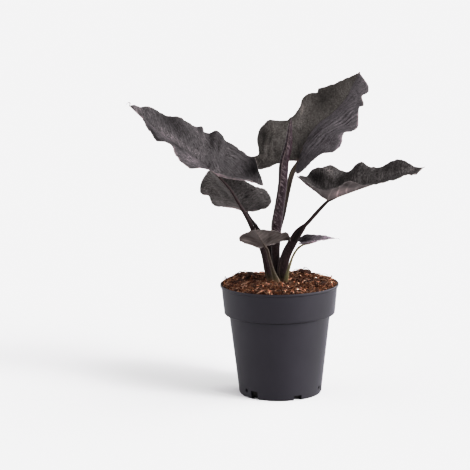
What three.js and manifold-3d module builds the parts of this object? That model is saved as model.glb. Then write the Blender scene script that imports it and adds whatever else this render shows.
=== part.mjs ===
// A young aroid with dark velvety leaves, growing in a plastic nursery pot.
// Millimetres, +Z up. The origin is the middle of the pot's underside, and +X is to the right seen from the
// front.

import * as THREE from 'three';
import { mergeGeometries, mergeVertices } from 'three/addons/utils/BufferGeometryUtils.js';
import Module from 'manifold-3d';

const wasm = await Module();
wasm.setup();

// Clearance between pieces that touch
const GAP = 0.3;

// Points nearer than this are one point
const WELD = 1e-4;

// Nursery pot
const POT_HEIGHT = 112.6;
const POT_WALL = 1.2;
const POT_FLOOR = 1.8;
const RIM_RADIUS = 60;
const RIM_BEAD_HEIGHT = 2.6;
const RIM_ROUNDING = 0.6;
const COLLAR_TOP_RADIUS = 58.8;
const COLLAR_FOOT_RADIUS = 56.1;
const COLLAR_DEPTH = 29.7;
const STEP_RADIUS = 51.2;
const STEP_HEIGHT = 4;
const BASE_RADIUS = 42;
const BASE_FILLET = 3;
const FOOT_RADIUS = 40.4;
const POT_SEGMENTS = 72;

// The underside stands on its middle and on three feet. Between the feet its edge is raised, so that water
// runs out through the notches. Angles are degrees around the pot, counted from +X towards +Y.
const FOOT_ANGLES = [-97.4, 22.6, 142.6];
const FOOT_HALF_ANGLE = 27;
const FOOT_RAISE = 1;
const FOOT_INNER_RADIUS = 34;
const NOTCH_OFFSET_ANGLE = 32;
const NOTCH_WIDTH = 8.5;
const NOTCH_HEIGHT = 4.6;
const NOTCH_LENGTH = 12;
const WEEP_OFFSET_ANGLE = -45.6;
const WEEP_WIDTH = 3;
const WEEP_BOTTOM = 6.2;

// Potting mix
const MIX_EDGE_DEPTH = 2;
const MIX_WALL_GAP = 0.45;
const MIX_CROWN = 2.4;
const MIX_HEAPS = [
  { x: 23, y: 24, height: 7, spread: 12 },
  { x: -34, y: 24, height: 4.5, spread: 14 },
  { x: -46, y: 2, height: 2, spread: 9 },
  { x: 34, y: -18, height: 2.2, spread: 13 },
  { x: -12, y: -30, height: 1.6, spread: 14 },
];
// Lumps in its surface: radians a millimetre along X and along Y, radians at the start, and height
const MIX_LUMPS = [[0.31, 0.27, 0.9, 0.4], [0.31, -0.27, 1.7, 0.4], [0.41, 0.53, 0, 0.45]];
const MIX_RING_RADII = [6, 12, 18, 24, 30, 36, 42, 47, 52, 55.5];
const MIX_SEGMENTS = 44;

// Leaf blades. The lobe rows fan out from the joint, and the midrib rows leave the midrib, slanting forward.
const BLADE_THICKNESS = 1;
const BLADE_COLUMNS = 3;
const LOBE_ROWS = 8;
const MIDRIB_ROWS = 22;
const VEIN_RAKE = 0.4;
const BLADE_CAMBER = 0.05;
const STATION_ACCURACY = 1e-7;

// Each open leaf: its joint with the stalk, its tip, and how far the blade is rolled about its midrib, in
// degrees, with its right side down. The midrib's points are [along, to the left, lift] and the margins'
// points [along, out from the midrib, lift], seen from above the blade with its tip ahead. A margin runs
// from the joint back round the basal lobe and forward to the tip.
const LEAVES = {
  left: {
    joint: [-59, -15, 225],
    tip: [-148, -3, 295],
    roll: -31,
    midrib: [[28, 0, -0.5], [58, 0, -2], [92, 0, -2.5]],
    left: [
      [-10, 4, 10], [-22, 9, 24], [-32, 14, 36], [-25, 19, 37], [-12, 23, 31], [0, 25, 26], [8, 27, 24.5],
      [18, 30, 22.5], [25, 31, 14.5], [32, 31, 13], [41, 29.5, 13], [48, 27.5, 15], [53, 26, 17.5],
      [61.5, 24, 13.5], [70, 21.5, 4.5], [76, 19, 5.5], [90, 12, 5], [103, 5, 2],
    ],
    right: [
      [-7, 6, 2], [-18, 11, 5], [-30, 15, 8], [-40, 20, 9.5], [-33, 27, 10], [-26, 32, 11.5],
      [-17.5, 36.5, 16], [-10, 37, 11.5], [0, 36.5, 11], [12, 36, 10], [20, 35, 10], [30.5, 33.5, 12.5],
      [36, 32, 6], [44, 30, 4.5], [60, 25, 6], [69, 22, 7], [80, 17.5, 2], [91.5, 12, 4], [101.5, 6.5, 3],
      [106, 2.5, 0],
    ],
  },
  upper: {
    joint: [20, 20, 234.5],
    tip: [84, 55, 320.5],
    roll: 20,
    midrib: [[17, 2, 5], [41, 3, 5], [61, 0, -1], [82, -2, -3], [100, -1, -1]],
    left: [
      [-3, 8, 3], [-11, 16, 5], [-29, 28, 13], [-24, 38, 22], [-15, 38, 15], [-2, 44, 24], [7, 44, 26],
      [20, 42, 23.5], [28, 36, 13], [33, 32, 10], [50, 31, 9], [58, 31, 14], [65, 28, 11], [70, 23, 7],
      [77, 22, 9], [93, 13, 5], [101, 7, 2],
    ],
    right: [
      [-3, 3, 2], [-5, 6, 4], [1, 11, 4.5], [15, 27, 12.5], [28, 36, 7], [40, 38, 5], [47, 37, 8.5],
      [62, 37, -3], [79, 28, 0], [86.5, 26, -4], [92, 20, -4], [103, 15, -5],
    ],
  },
  right: {
    joint: [49, -7, 198.5],
    tip: [145, -12, 231],
    roll: 10,
    midrib: [[30, 0, 0.5], [60, 0, 0.5], [85, 0, 0]],
    left: [
      [-6, 4, 8], [-14, 8, 20], [-20, 15, 29], [-12, 26, 28], [-1, 30, 24.5], [12.5, 32, 24], [25, 31, 13],
      [43, 29, 18.5], [48.5, 27, 12.5], [60, 24, 8], [78.5, 17, 12.5], [85, 14, 10], [94, 6, 1.5],
    ],
    right: [
      [-6, 4, 10.5], [-14, 7, 25], [-20, 10, 38], [-12, 19, 31], [-6.5, 25, 25.5], [3, 30, 21], [13, 32, 20],
      [20, 32, 20.5], [28, 31, 22], [33, 30.5, 19], [41, 29.5, 12.5], [67, 21, 5.5], [83.5, 14, 3],
      [91, 9, -0.5],
    ],
  },
  rear: {
    joint: [-32, 15, 184],
    tip: [-69, 80, 220],
    roll: 0,
    midrib: [[25, 0, -1], [55, 0, -1]],
    left: [
      [-2, 5, 3], [-7, 20, 12.5], [-8, 28, 14.5], [4, 36, 8.5], [14, 36, 7], [24, 34, 7.5], [31, 39, 6.5],
      [44, 34, 8.5], [64, 17, 9],
    ],
    right: [
      [-3, 6, 2.5], [-8, 16.5, 8.5], [0, 26, 9.5], [12, 31, 9], [25, 31, 9], [38, 26, 5], [55, 18, 5],
      [70, 8, 3],
    ],
  },
  front_small: {
    joint: [-13.5, -17, 154],
    tip: [-23, -58, 177],
    roll: 0,
    midrib: [[25, 0, -1]],
    left: [
      [-3, 15.5, 7], [-6, 18, 12], [-9, 21, 13.5], [-8, 23.5, 9], [0, 24, 11], [8, 22.5, 12.5], [18, 19.5, 9.5],
      [33, 12.5, 6], [44, 4.5, 2.5],
    ],
    right: [
      [-4, 7, -0.5], [-5, 18, 3], [-4, 27, 5.5], [6, 26.5, 7], [18, 18.5, 6.5], [32, 8, 5.5],
    ],
  },
  right_small: {
    joint: [24, -23, 156.8],
    tip: [56.5, -36, 164.3],
    roll: 0,
    midrib: [[12, 0, 0], [24, 0, 1]],
    left: [
      [-5, 4, 3], [-9, 9, 4], [-2, 15, 8.5], [6, 15, 6], [14, 12.5, 3.5], [24, 7.5, 2.5],
    ],
    right: [
      [-2, 6, 2], [4, 11, 2], [13, 12, 2], [22, 9, 1], [31, 3.5, 1],
    ],
  },
};

// Leaf stalks: stations from the buried foot up to the blade, each [x, y, z, width, thickness]. The width
// lies across the front view. A wide stretch is the sheath that clasps its neighbours.
const STALK_SIDES = 12;
const RINGS_PER_STATION = 2;
const STALKS = {
  left: [
    [-9.5, -2.5, 99, 5.5, 5.5], [-9.7, -3, 114, 6, 5.5], [-12, -4, 127, 6, 5], [-16.3, -6, 148, 6, 4.5],
    [-24.5, -8.5, 169.5, 6.2, 4], [-30, -10, 179, 4, 3.2], [-38.8, -12, 195, 3.2, 3],
    [-48.4, -14, 211.6, 2.8, 2.8], [-59, -15, 225, 2.4, 2.4],
  ],
  upper: [
    [-6.5, 12.5, 99, 5, 4.6], [-6.5, 12.5, 114, 5.2, 4.8], [-5.8, 12.8, 130, 5, 4.5],
    [-3.5, 13.5, 147, 5, 4], [0.5, 15, 165, 4, 3.6], [4.4, 16, 180, 3.4, 3.2], [12, 18, 211, 3, 2.8],
    [15.5, 19, 223.5, 2.8, 2.6], [20, 20, 234.5, 2.4, 2.4],
  ],
  right: [
    [4.3, -5, 99, 8, 6], [4.2, -5, 114.5, 8.5, 6], [3.2, -5.5, 127, 10.5, 5], [7, -5.5, 142.4, 9.8, 4.6],
    [13.2, -5.5, 154.7, 9.2, 4.4], [19.5, -6, 165, 7.5, 4], [25, -6, 171.5, 4.5, 3.4],
    [29.4, -6, 176.6, 3.4, 3], [39.5, -6, 188.7, 2.9, 2.8], [49, -7, 198.5, 2.4, 2.4],
  ],
  rear: [
    [-11, 5.5, 99, 4.6, 4.4], [-11.2, 6, 114, 4.8, 4.4], [-12.5, 7, 126, 4.6, 4],
    [-16.3, 9, 145.3, 4.4, 3.6], [-25.2, 11, 167.7, 3.2, 3], [-29.1, 13, 177.7, 2.6, 2.6],
    [-32, 15, 184, 2.2, 2.2],
  ],
  front_small: [
    [-2, -12.5, 99, 6, 4], [-1.8, -12.5, 114.5, 7.4, 4], [-4.3, -12.8, 122, 5, 3.6],
    [-6.3, -13, 128.5, 3.4, 3], [-9.6, -14, 141, 2.6, 2.4], [-11.5, -16, 149.5, 2.2, 2.2],
    [-13.5, -17, 154, 2, 2],
  ],
  right_small: [
    [6.3, -12.8, 99, 4.6, 4], [6.5, -12.8, 114, 5, 4.2], [7.5, -12.8, 122, 4.4, 3.6],
    [9.7, -12.8, 130.4, 2.8, 2.4], [14, -16, 143.4, 1.8, 1.8], [19.6, -21, 152.6, 1.7, 1.7],
    [24, -23, 156.8, 1.6, 1.6],
  ],
  new_leaf: [
    [-2.8, 3, 99, 7, 6.6], [-3, 3, 114, 7.4, 7], [-3.2, 2, 134, 8, 7], [-3.5, 1, 150, 9, 7.6],
    [-2.8, 0, 167, 10.4, 8.8],
  ],
};

// The rolled young leaf, with the same kind of stations, the level of its foot, and how much its rolled edge
// stands out as a share of its width
const ROLLED_LEAF_FOOT = 165;
const ROLLED_LEAF = [
  [-3.1, 0, 162, 10.2, 8.8], [-1.9, 0, 173, 12, 10], [1, 0, 192, 10.6, 9.6], [4.7, 0, 214, 9.8, 9],
  [6.6, 0, 236.4, 9.4, 8.4], [10.3, 0, 253.5, 7.6, 6.8], [12.3, 0, 273, 3.8, 3.6], [13.2, 0, 280, 0.8, 0.8],
];
const ROLL_OVERLAP = 0.16;

// Loose pieces on the mix: [x, y, length, width, height, turn in degrees]
const BARK_CHIPS = [
  [27, 20, 12, 7, 5, 30], [38, 4, 9, 6, 4, 120], [-30, 14, 11, 7, 5, 75], [-42, -6, 9, 6, 4, 10],
  [20, -30, 10, 6, 4, 160], [-18, -38, 9, 6, 4, 50], [-8, 34, 10, 6, 4, 100], [44, -14, 8, 5, 4, 20],
];
const PERLITE_GRAINS = [
  [26, -8, 4.5, 4, 3.4, 0], [18, -43, 4.6, 4, 3.4, 40], [37, 10, 4, 3.6, 3, 80], [8, -36, 3.8, 3.4, 3, 15],
  [-26, 2, 4, 3.6, 3, 60], [-34, -22, 3.8, 3.4, 3, 110], [-12, -24, 4, 3.4, 3, 30], [6, 42, 4, 3.6, 3, 70],
];
const CHIP_SINK = 0.3;

const MATERIALS = {
  pot: { color: 0x333237, roughness: 0.45 },
  mix: { color: 0x4a2c1c, roughness: 0.95 },
  bark: { color: 0x5d3a24, roughness: 0.9 },
  perlite: { color: 0xd9d0c4, roughness: 0.9 },
  blade: { color: 0x3a3638, roughness: 0.7 },
  stalk: { color: 0x30272a, roughness: 0.6 },
  rolled: { color: 0x44393d, roughness: 0.6 },
};

const UP = new THREE.Vector3(0, 0, 1);
const FRONT = new THREE.Vector3(0, -1, 0);
const degrees = THREE.MathUtils.degToRad;
const vector = (values) => new THREE.Vector3(values[0], values[1], values[2]);

// Closed meshes and solids

function indexed(geometry) {
  const bare = new THREE.BufferGeometry();
  bare.setAttribute('position', geometry.getAttribute('position'));
  bare.setIndex(geometry.getIndex());
  const merged = mergeVertices(bare, WELD);
  const corners = merged.getIndex().array;
  const kept = [];
  for (let i = 0; i < corners.length; i += 3) {
    const [a, b, c] = [corners[i], corners[i + 1], corners[i + 2]];
    if (a !== b && b !== c && c !== a) kept.push(a, b, c);
  }
  merged.setIndex(kept);
  return merged;
}

function toSolid(geometry) {
  const merged = indexed(geometry);
  return new wasm.Manifold(new wasm.Mesh({
    numProp: 3,
    vertProperties: new Float32Array(merged.getAttribute('position').array),
    triVerts: new Uint32Array(merged.getIndex().array),
  }));
}

function toGeometry(solid) {
  const { vertProperties, triVerts } = solid.getMesh();
  const geometry = new THREE.BufferGeometry();
  geometry.setAttribute('position', new THREE.BufferAttribute(vertProperties, 3));
  geometry.setIndex(new THREE.BufferAttribute(triVerts, 1));
  geometry.computeVertexNormals();
  return geometry;
}

function largestBody(solid) {
  return solid.decompose().sort((a, b) => b.volume() - a.volume())[0];
}

// Nursery pot

function potProfile() {
  const collarFoot = POT_HEIGHT - COLLAR_DEPTH;
  const stepFoot = collarFoot - STEP_HEIGHT;
  const beadFoot = POT_HEIGHT - RIM_BEAD_HEIGHT;
  const outside = [[0, 0], [FOOT_RADIUS, 0]];
  for (const turn of [30, 60, 90]) {
    const reach = Math.sin(degrees(turn)) * (BASE_RADIUS - FOOT_RADIUS);
    outside.push([FOOT_RADIUS + reach, BASE_FILLET * (1 - Math.cos(degrees(turn)))]);
  }
  outside.push([STEP_RADIUS, stepFoot], [COLLAR_FOOT_RADIUS, collarFoot], [COLLAR_TOP_RADIUS, beadFoot]);
  outside.push([RIM_RADIUS, beadFoot + RIM_ROUNDING], [RIM_RADIUS, POT_HEIGHT - RIM_ROUNDING]);
  outside.push([RIM_RADIUS - RIM_ROUNDING, POT_HEIGHT]);
  const inside = [
    [COLLAR_TOP_RADIUS - POT_WALL + RIM_ROUNDING, POT_HEIGHT],
    [COLLAR_TOP_RADIUS - POT_WALL, beadFoot],
    [COLLAR_FOOT_RADIUS - POT_WALL, collarFoot + POT_WALL / 2],
    [STEP_RADIUS - POT_WALL, stepFoot + POT_WALL / 2],
    [BASE_RADIUS - POT_WALL, BASE_FILLET + POT_FLOOR],
    [FOOT_RADIUS - POT_FLOOR, POT_FLOOR],
    [0, POT_FLOOR],
  ];
  return { outside, inside };
}

function lathe(points, segments) {
  const profile = points.map(([radius, height]) => new THREE.Vector2(radius, height));
  return new THREE.LatheGeometry(profile, segments).rotateX(Math.PI / 2);
}

function boxAt(radius, angle, bottom, length, width, height) {
  const box = new THREE.BoxGeometry(length, width, height);
  box.translate(radius, 0, bottom + height / 2);
  return toSolid(box.rotateZ(degrees(angle)));
}

function raisedEdge(middleAngle) {
  const halfAngle = degrees(180 / FOOT_ANGLES.length - FOOT_HALF_ANGLE);
  const middle = degrees(middleAngle);
  const sector = new THREE.Shape();
  sector.absarc(0, 0, RIM_RADIUS, middle - halfAngle, middle + halfAngle, false);
  sector.absarc(0, 0, FOOT_INNER_RADIUS, middle + halfAngle, middle - halfAngle, true);
  const slab = new THREE.ExtrudeGeometry(sector, { depth: 2 * FOOT_RAISE, bevelEnabled: false });
  return toSolid(slab.translate(0, 0, -FOOT_RAISE));
}

function makePot() {
  const { outside, inside } = potProfile();
  let pot = toSolid(lathe([...outside, ...inside], POT_SEGMENTS));
  for (const angle of FOOT_ANGLES) {
    pot = pot.subtract(raisedEdge(angle + 180 / FOOT_ANGLES.length));
    for (const offset of [-NOTCH_OFFSET_ANGLE, NOTCH_OFFSET_ANGLE]) {
      pot = pot.subtract(boxAt(BASE_RADIUS, angle + offset, -1, NOTCH_LENGTH, NOTCH_WIDTH, NOTCH_HEIGHT + 1));
    }
    const weepAngle = angle + WEEP_OFFSET_ANGLE;
    pot = pot.subtract(boxAt(BASE_RADIUS, weepAngle, WEEP_BOTTOM, NOTCH_LENGTH / 2, WEEP_WIDTH, WEEP_WIDTH));
  }
  return toGeometry(pot);
}

// Potting mix

function mixHeight(x, y) {
  const radius = Math.hypot(x, y) / RIM_RADIUS;
  let height = POT_HEIGHT - MIX_EDGE_DEPTH + MIX_CROWN * (1 - radius * radius);
  for (const heap of MIX_HEAPS) {
    const distance = Math.hypot(x - heap.x, y - heap.y) / heap.spread;
    height += heap.height * Math.exp(-distance * distance);
  }
  for (const [alongX, alongY, start, lump] of MIX_LUMPS) {
    height += lump * Math.sin(alongX * x + alongY * y + start) * (1 - radius ** 4);
  }
  return height;
}

function makeMix() {
  const { inside } = potProfile();
  const topEdge = POT_HEIGHT - MIX_EDGE_DEPTH;
  const wall = inside.slice(1).reverse().map(([radius, height]) => [Math.max(0, radius - MIX_WALL_GAP), height]);
  wall[0][1] += GAP;
  wall[1][1] += GAP;
  const crown = [...MIX_RING_RADII].reverse().map((radius) => [radius, topEdge]);
  const mix = lathe([...wall, [wall.at(-1)[0], topEdge], ...crown, [0, topEdge]], MIX_SEGMENTS);
  const places = mix.getAttribute('position');
  for (let i = 0; i < places.count; i += 1) {
    const [x, y] = [places.getX(i), places.getY(i)];
    const onTop = places.getZ(i) > topEdge - WELD;
    if (onTop && Math.hypot(x, y) < MIX_RING_RADII.at(-1) + WELD) places.setZ(i, mixHeight(x, y));
  }
  return toSolid(mix);
}

function looseChip([x, y, length, width, height, turn], mixRaised) {
  const chip = new THREE.IcosahedronGeometry(0.5, 0);
  chip.scale(length, width, height);
  chip.rotateZ(degrees(turn));
  chip.translate(x, y, mixHeight(x, y) + GAP + height * CHIP_SINK);
  return toGeometry(largestBody(toSolid(chip).subtract(mixRaised)));
}

// Leaf stalks and the rolled leaf

function bendAlong(stations, extra, radiusAt) {
  const steps = (stations.length - 1) * RINGS_PER_STATION;
  const body = new THREE.CylinderGeometry(1, 1, 1, STALK_SIDES, steps).rotateX(Math.PI / 2);
  const centres = new THREE.CatmullRomCurve3(stations.map(vector));
  const sizes = new THREE.CatmullRomCurve3(stations.map(([, , , width, depth]) => vector([width, depth, 0])));
  const places = body.getAttribute('position');
  for (let i = 0; i < places.count; i += 1) {
    const [x, y, z] = [places.getX(i), places.getY(i), places.getZ(i)];
    const share = THREE.MathUtils.clamp(z + 0.5, 0, 1);
    const tangent = centres.getTangent(share);
    const face = FRONT.clone().addScaledVector(tangent, -FRONT.dot(tangent)).normalize();
    const across = new THREE.Vector3().crossVectors(face, tangent);
    const size = sizes.getPoint(share);
    const round = radiusAt(Math.atan2(y, x));
    const place = centres.getPoint(share);
    place.addScaledVector(across, x * round * (size.x / 2 + extra));
    place.addScaledVector(face, y * round * (size.y / 2 + extra));
    if (share === 0) place.addScaledVector(tangent, -extra);
    if (share === 1) place.addScaledVector(tangent, extra);
    places.setXYZ(i, place.x, place.y, place.z);
  }
  return body;
}

const stalkGeometry = (stations, extra = 0) => bendAlong(stations, extra, () => 1);

function makeRolledLeaf() {
  const spiral = (angle) => 1 - ROLL_OVERLAP * THREE.MathUtils.euclideanModulo(angle / (2 * Math.PI), 1);
  return toGeometry(toSolid(bendAlong(ROLLED_LEAF, 0, spiral)).trimByPlane(UP.toArray(), ROLLED_LEAF_FOOT));
}

// Leaf blades, in a frame with x along the midrib, y to the blade's left and z off its upper face

function bladeAxes(leaf) {
  const along = vector(leaf.tip).sub(vector(leaf.joint)).normalize();
  const left = new THREE.Vector3().crossVectors(UP, along).normalize();
  left.applyAxisAngle(along, degrees(leaf.roll));
  return [along, left, new THREE.Vector3().crossVectors(along, left)];
}

// The share of a curve at which a measure that grows along it reaches a value
function shareAt(measure, value, low = 0, high = 1) {
  const middle = (low + high) / 2;
  if (high - low < STATION_ACCURACY) return middle;
  if (measure(middle) < value) return shareAt(measure, value, middle, high);
  return shareAt(measure, value, low, middle);
}

// One half of the blade: each row runs from the midrib, or from the joint in the basal lobe, to the margin.
function halfBlade(leaf, margin, side) {
  const joint = new THREE.Vector3(0, 0, 0);
  const tip = new THREE.Vector3(vector(leaf.tip).distanceTo(vector(leaf.joint)), 0, 0);
  const midrib = new THREE.CatmullRomCurve3([joint, ...leaf.midrib.map(vector), tip]);
  const edge = new THREE.CatmullRomCurve3([
    joint, ...margin.map(([along, out, lift]) => new THREE.Vector3(along, side * out, lift)), tip,
  ]);
  const lobeTip = (1 + margin.findIndex((point, i) => point[0] < margin[i + 1][0])) / (margin.length + 1);
  const root = (share) => edge.getPoint(share).x - VEIN_RAKE * Math.abs(edge.getPoint(share).y);
  const lobeEnd = shareAt(root, 0, lobeTip, 1);
  const sheet = new THREE.PlaneGeometry(1, 1, LOBE_ROWS + MIDRIB_ROWS, BLADE_COLUMNS);
  const places = sheet.getAttribute('position');
  for (let i = 0; i < places.count; i += 1) {
    const row = Math.round((places.getX(i) + 0.5) * (LOBE_ROWS + MIDRIB_ROWS));
    const across = places.getY(i) + 0.5;
    let inner = joint;
    let outer = edge.getPoint(lobeTip + (lobeEnd - lobeTip) * row / LOBE_ROWS);
    if (row > LOBE_ROWS) {
      const station = tip.x * (row - LOBE_ROWS) / MIDRIB_ROWS;
      inner = midrib.getPoint(shareAt((share) => midrib.getPoint(share).x, station));
      outer = edge.getPoint(shareAt(root, station, lobeEnd, 1));
    }
    const place = inner.clone().lerp(outer, across);
    place.z += BLADE_CAMBER * 4 * across * (1 - across) * inner.distanceTo(outer);
    if (row === LOBE_ROWS + MIDRIB_ROWS) place.copy(tip);
    places.setXYZ(i, place.x, place.y, place.z);
  }
  if (side < 0) {
    const corners = sheet.getIndex().array;
    for (let i = 0; i < corners.length; i += 3) [corners[i], corners[i + 1]] = [corners[i + 1], corners[i]];
  }
  return sheet;
}

// Gives a thin open sheet a thickness, and closes it along its margin.
function thicken(sheet, thickness) {
  sheet.computeVertexNormals();
  const places = sheet.getAttribute('position');
  const normals = sheet.getAttribute('normal');
  const corners = Array.from(sheet.getIndex().array);
  const count = places.count;
  const vertices = new Float32Array(count * 6);
  for (let i = 0; i < count; i += 1) {
    const place = new THREE.Vector3().fromBufferAttribute(places, i);
    const normal = new THREE.Vector3().fromBufferAttribute(normals, i);
    place.clone().addScaledVector(normal, thickness / 2).toArray(vertices, 3 * i);
    place.clone().addScaledVector(normal, -thickness / 2).toArray(vertices, 3 * (count + i));
  }
  const faces = [...corners];
  const open = new Map();
  for (let i = 0; i < corners.length; i += 3) {
    const [a, b, c] = corners.slice(i, i + 3);
    faces.push(count + a, count + c, count + b);
    for (const [from, to] of [[a, b], [b, c], [c, a]]) {
      if (!open.delete(`${to} ${from}`)) open.set(`${from} ${to}`, [from, to]);
    }
  }
  for (const [from, to] of open.values()) {
    faces.push(from, count + from, count + to, from, count + to, to);
  }
  const solid = new THREE.BufferGeometry();
  solid.setAttribute('position', new THREE.BufferAttribute(vertices, 3));
  solid.setIndex(faces);
  return solid;
}

function bladeGeometry(leaf, thickness) {
  const halves = [halfBlade(leaf, leaf.left, 1), halfBlade(leaf, leaf.right, -1)];
  return thicken(indexed(mergeGeometries(halves.map((half) => half.deleteAttribute('uv')))), thickness);
}

// The stalk ends just under its own leaf.
function makeStalk(name) {
  const stalk = toSolid(stalkGeometry(STALKS[name]));
  const leaf = LEAVES[name];
  if (!leaf) return toGeometry(stalk.trimByPlane([0, 0, -1], GAP - ROLLED_LEAF_FOOT));
  const under = bladeAxes(leaf)[2].negate();
  const reach = under.dot(vector(leaf.joint)) + BLADE_THICKNESS / 2 + GAP;
  return toGeometry(stalk.trimByPlane(under.toArray(), reach));
}

// The whole plant in its pot

const plant = new THREE.Group();

function add(name, geometry, material) {
  const mesh = new THREE.Mesh(geometry, new THREE.MeshStandardMaterial({ ...material, metalness: 0 }));
  mesh.name = name;
  plant.add(mesh);
  return mesh;
}

add('nursery_pot', makePot(), MATERIALS.pot);

let mix = makeMix();
for (const stations of Object.values(STALKS)) mix = mix.subtract(toSolid(stalkGeometry(stations, GAP)));
mix = largestBody(mix);
add('potting_mix', toGeometry(mix), MATERIALS.mix);

for (const name of Object.keys(STALKS)) add(`petiole_${name}`, makeStalk(name), MATERIALS.stalk);

for (const [name, leaf] of Object.entries(LEAVES)) {
  const blade = add(`blade_${name}`, bladeGeometry(leaf, BLADE_THICKNESS), MATERIALS.blade);
  blade.position.copy(vector(leaf.joint));
  blade.setRotationFromMatrix(new THREE.Matrix4().makeBasis(...bladeAxes(leaf)));
}

add('rolled_new_leaf', makeRolledLeaf(), MATERIALS.rolled);

const mixRaised = mix.translate([0, 0, GAP]);
BARK_CHIPS.forEach((chip, i) => {
  add(`bark_chip_${i + 1}`, looseChip(chip, mixRaised), MATERIALS.bark);
});
PERLITE_GRAINS.forEach((grain, i) => {
  add(`perlite_grain_${i + 1}`, looseChip(grain, mixRaised), MATERIALS.perlite);
});

export default plant;
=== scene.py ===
import math

import bmesh
import bpy
import numpy as np
from mathutils import Matrix, Vector, noise


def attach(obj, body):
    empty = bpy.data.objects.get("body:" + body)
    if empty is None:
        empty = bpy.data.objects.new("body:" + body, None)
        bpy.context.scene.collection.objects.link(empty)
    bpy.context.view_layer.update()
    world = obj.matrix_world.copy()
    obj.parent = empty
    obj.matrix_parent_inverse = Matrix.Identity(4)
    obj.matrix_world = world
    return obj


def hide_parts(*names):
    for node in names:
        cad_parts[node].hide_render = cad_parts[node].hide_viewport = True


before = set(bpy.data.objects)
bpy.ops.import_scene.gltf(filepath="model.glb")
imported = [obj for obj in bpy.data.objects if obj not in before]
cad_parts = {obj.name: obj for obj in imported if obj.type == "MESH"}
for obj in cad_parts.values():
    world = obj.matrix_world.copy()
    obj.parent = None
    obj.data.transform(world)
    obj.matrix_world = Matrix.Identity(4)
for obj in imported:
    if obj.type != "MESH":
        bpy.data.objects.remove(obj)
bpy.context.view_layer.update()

# All sizes below are in millimetres, as in the CAD part, and are turned into metres where a mesh is made.
MM = 0.001
UP = np.array([0.0, 0.0, 1.0])
FRONT = np.array([0.0, -1.0, 0.0])

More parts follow.
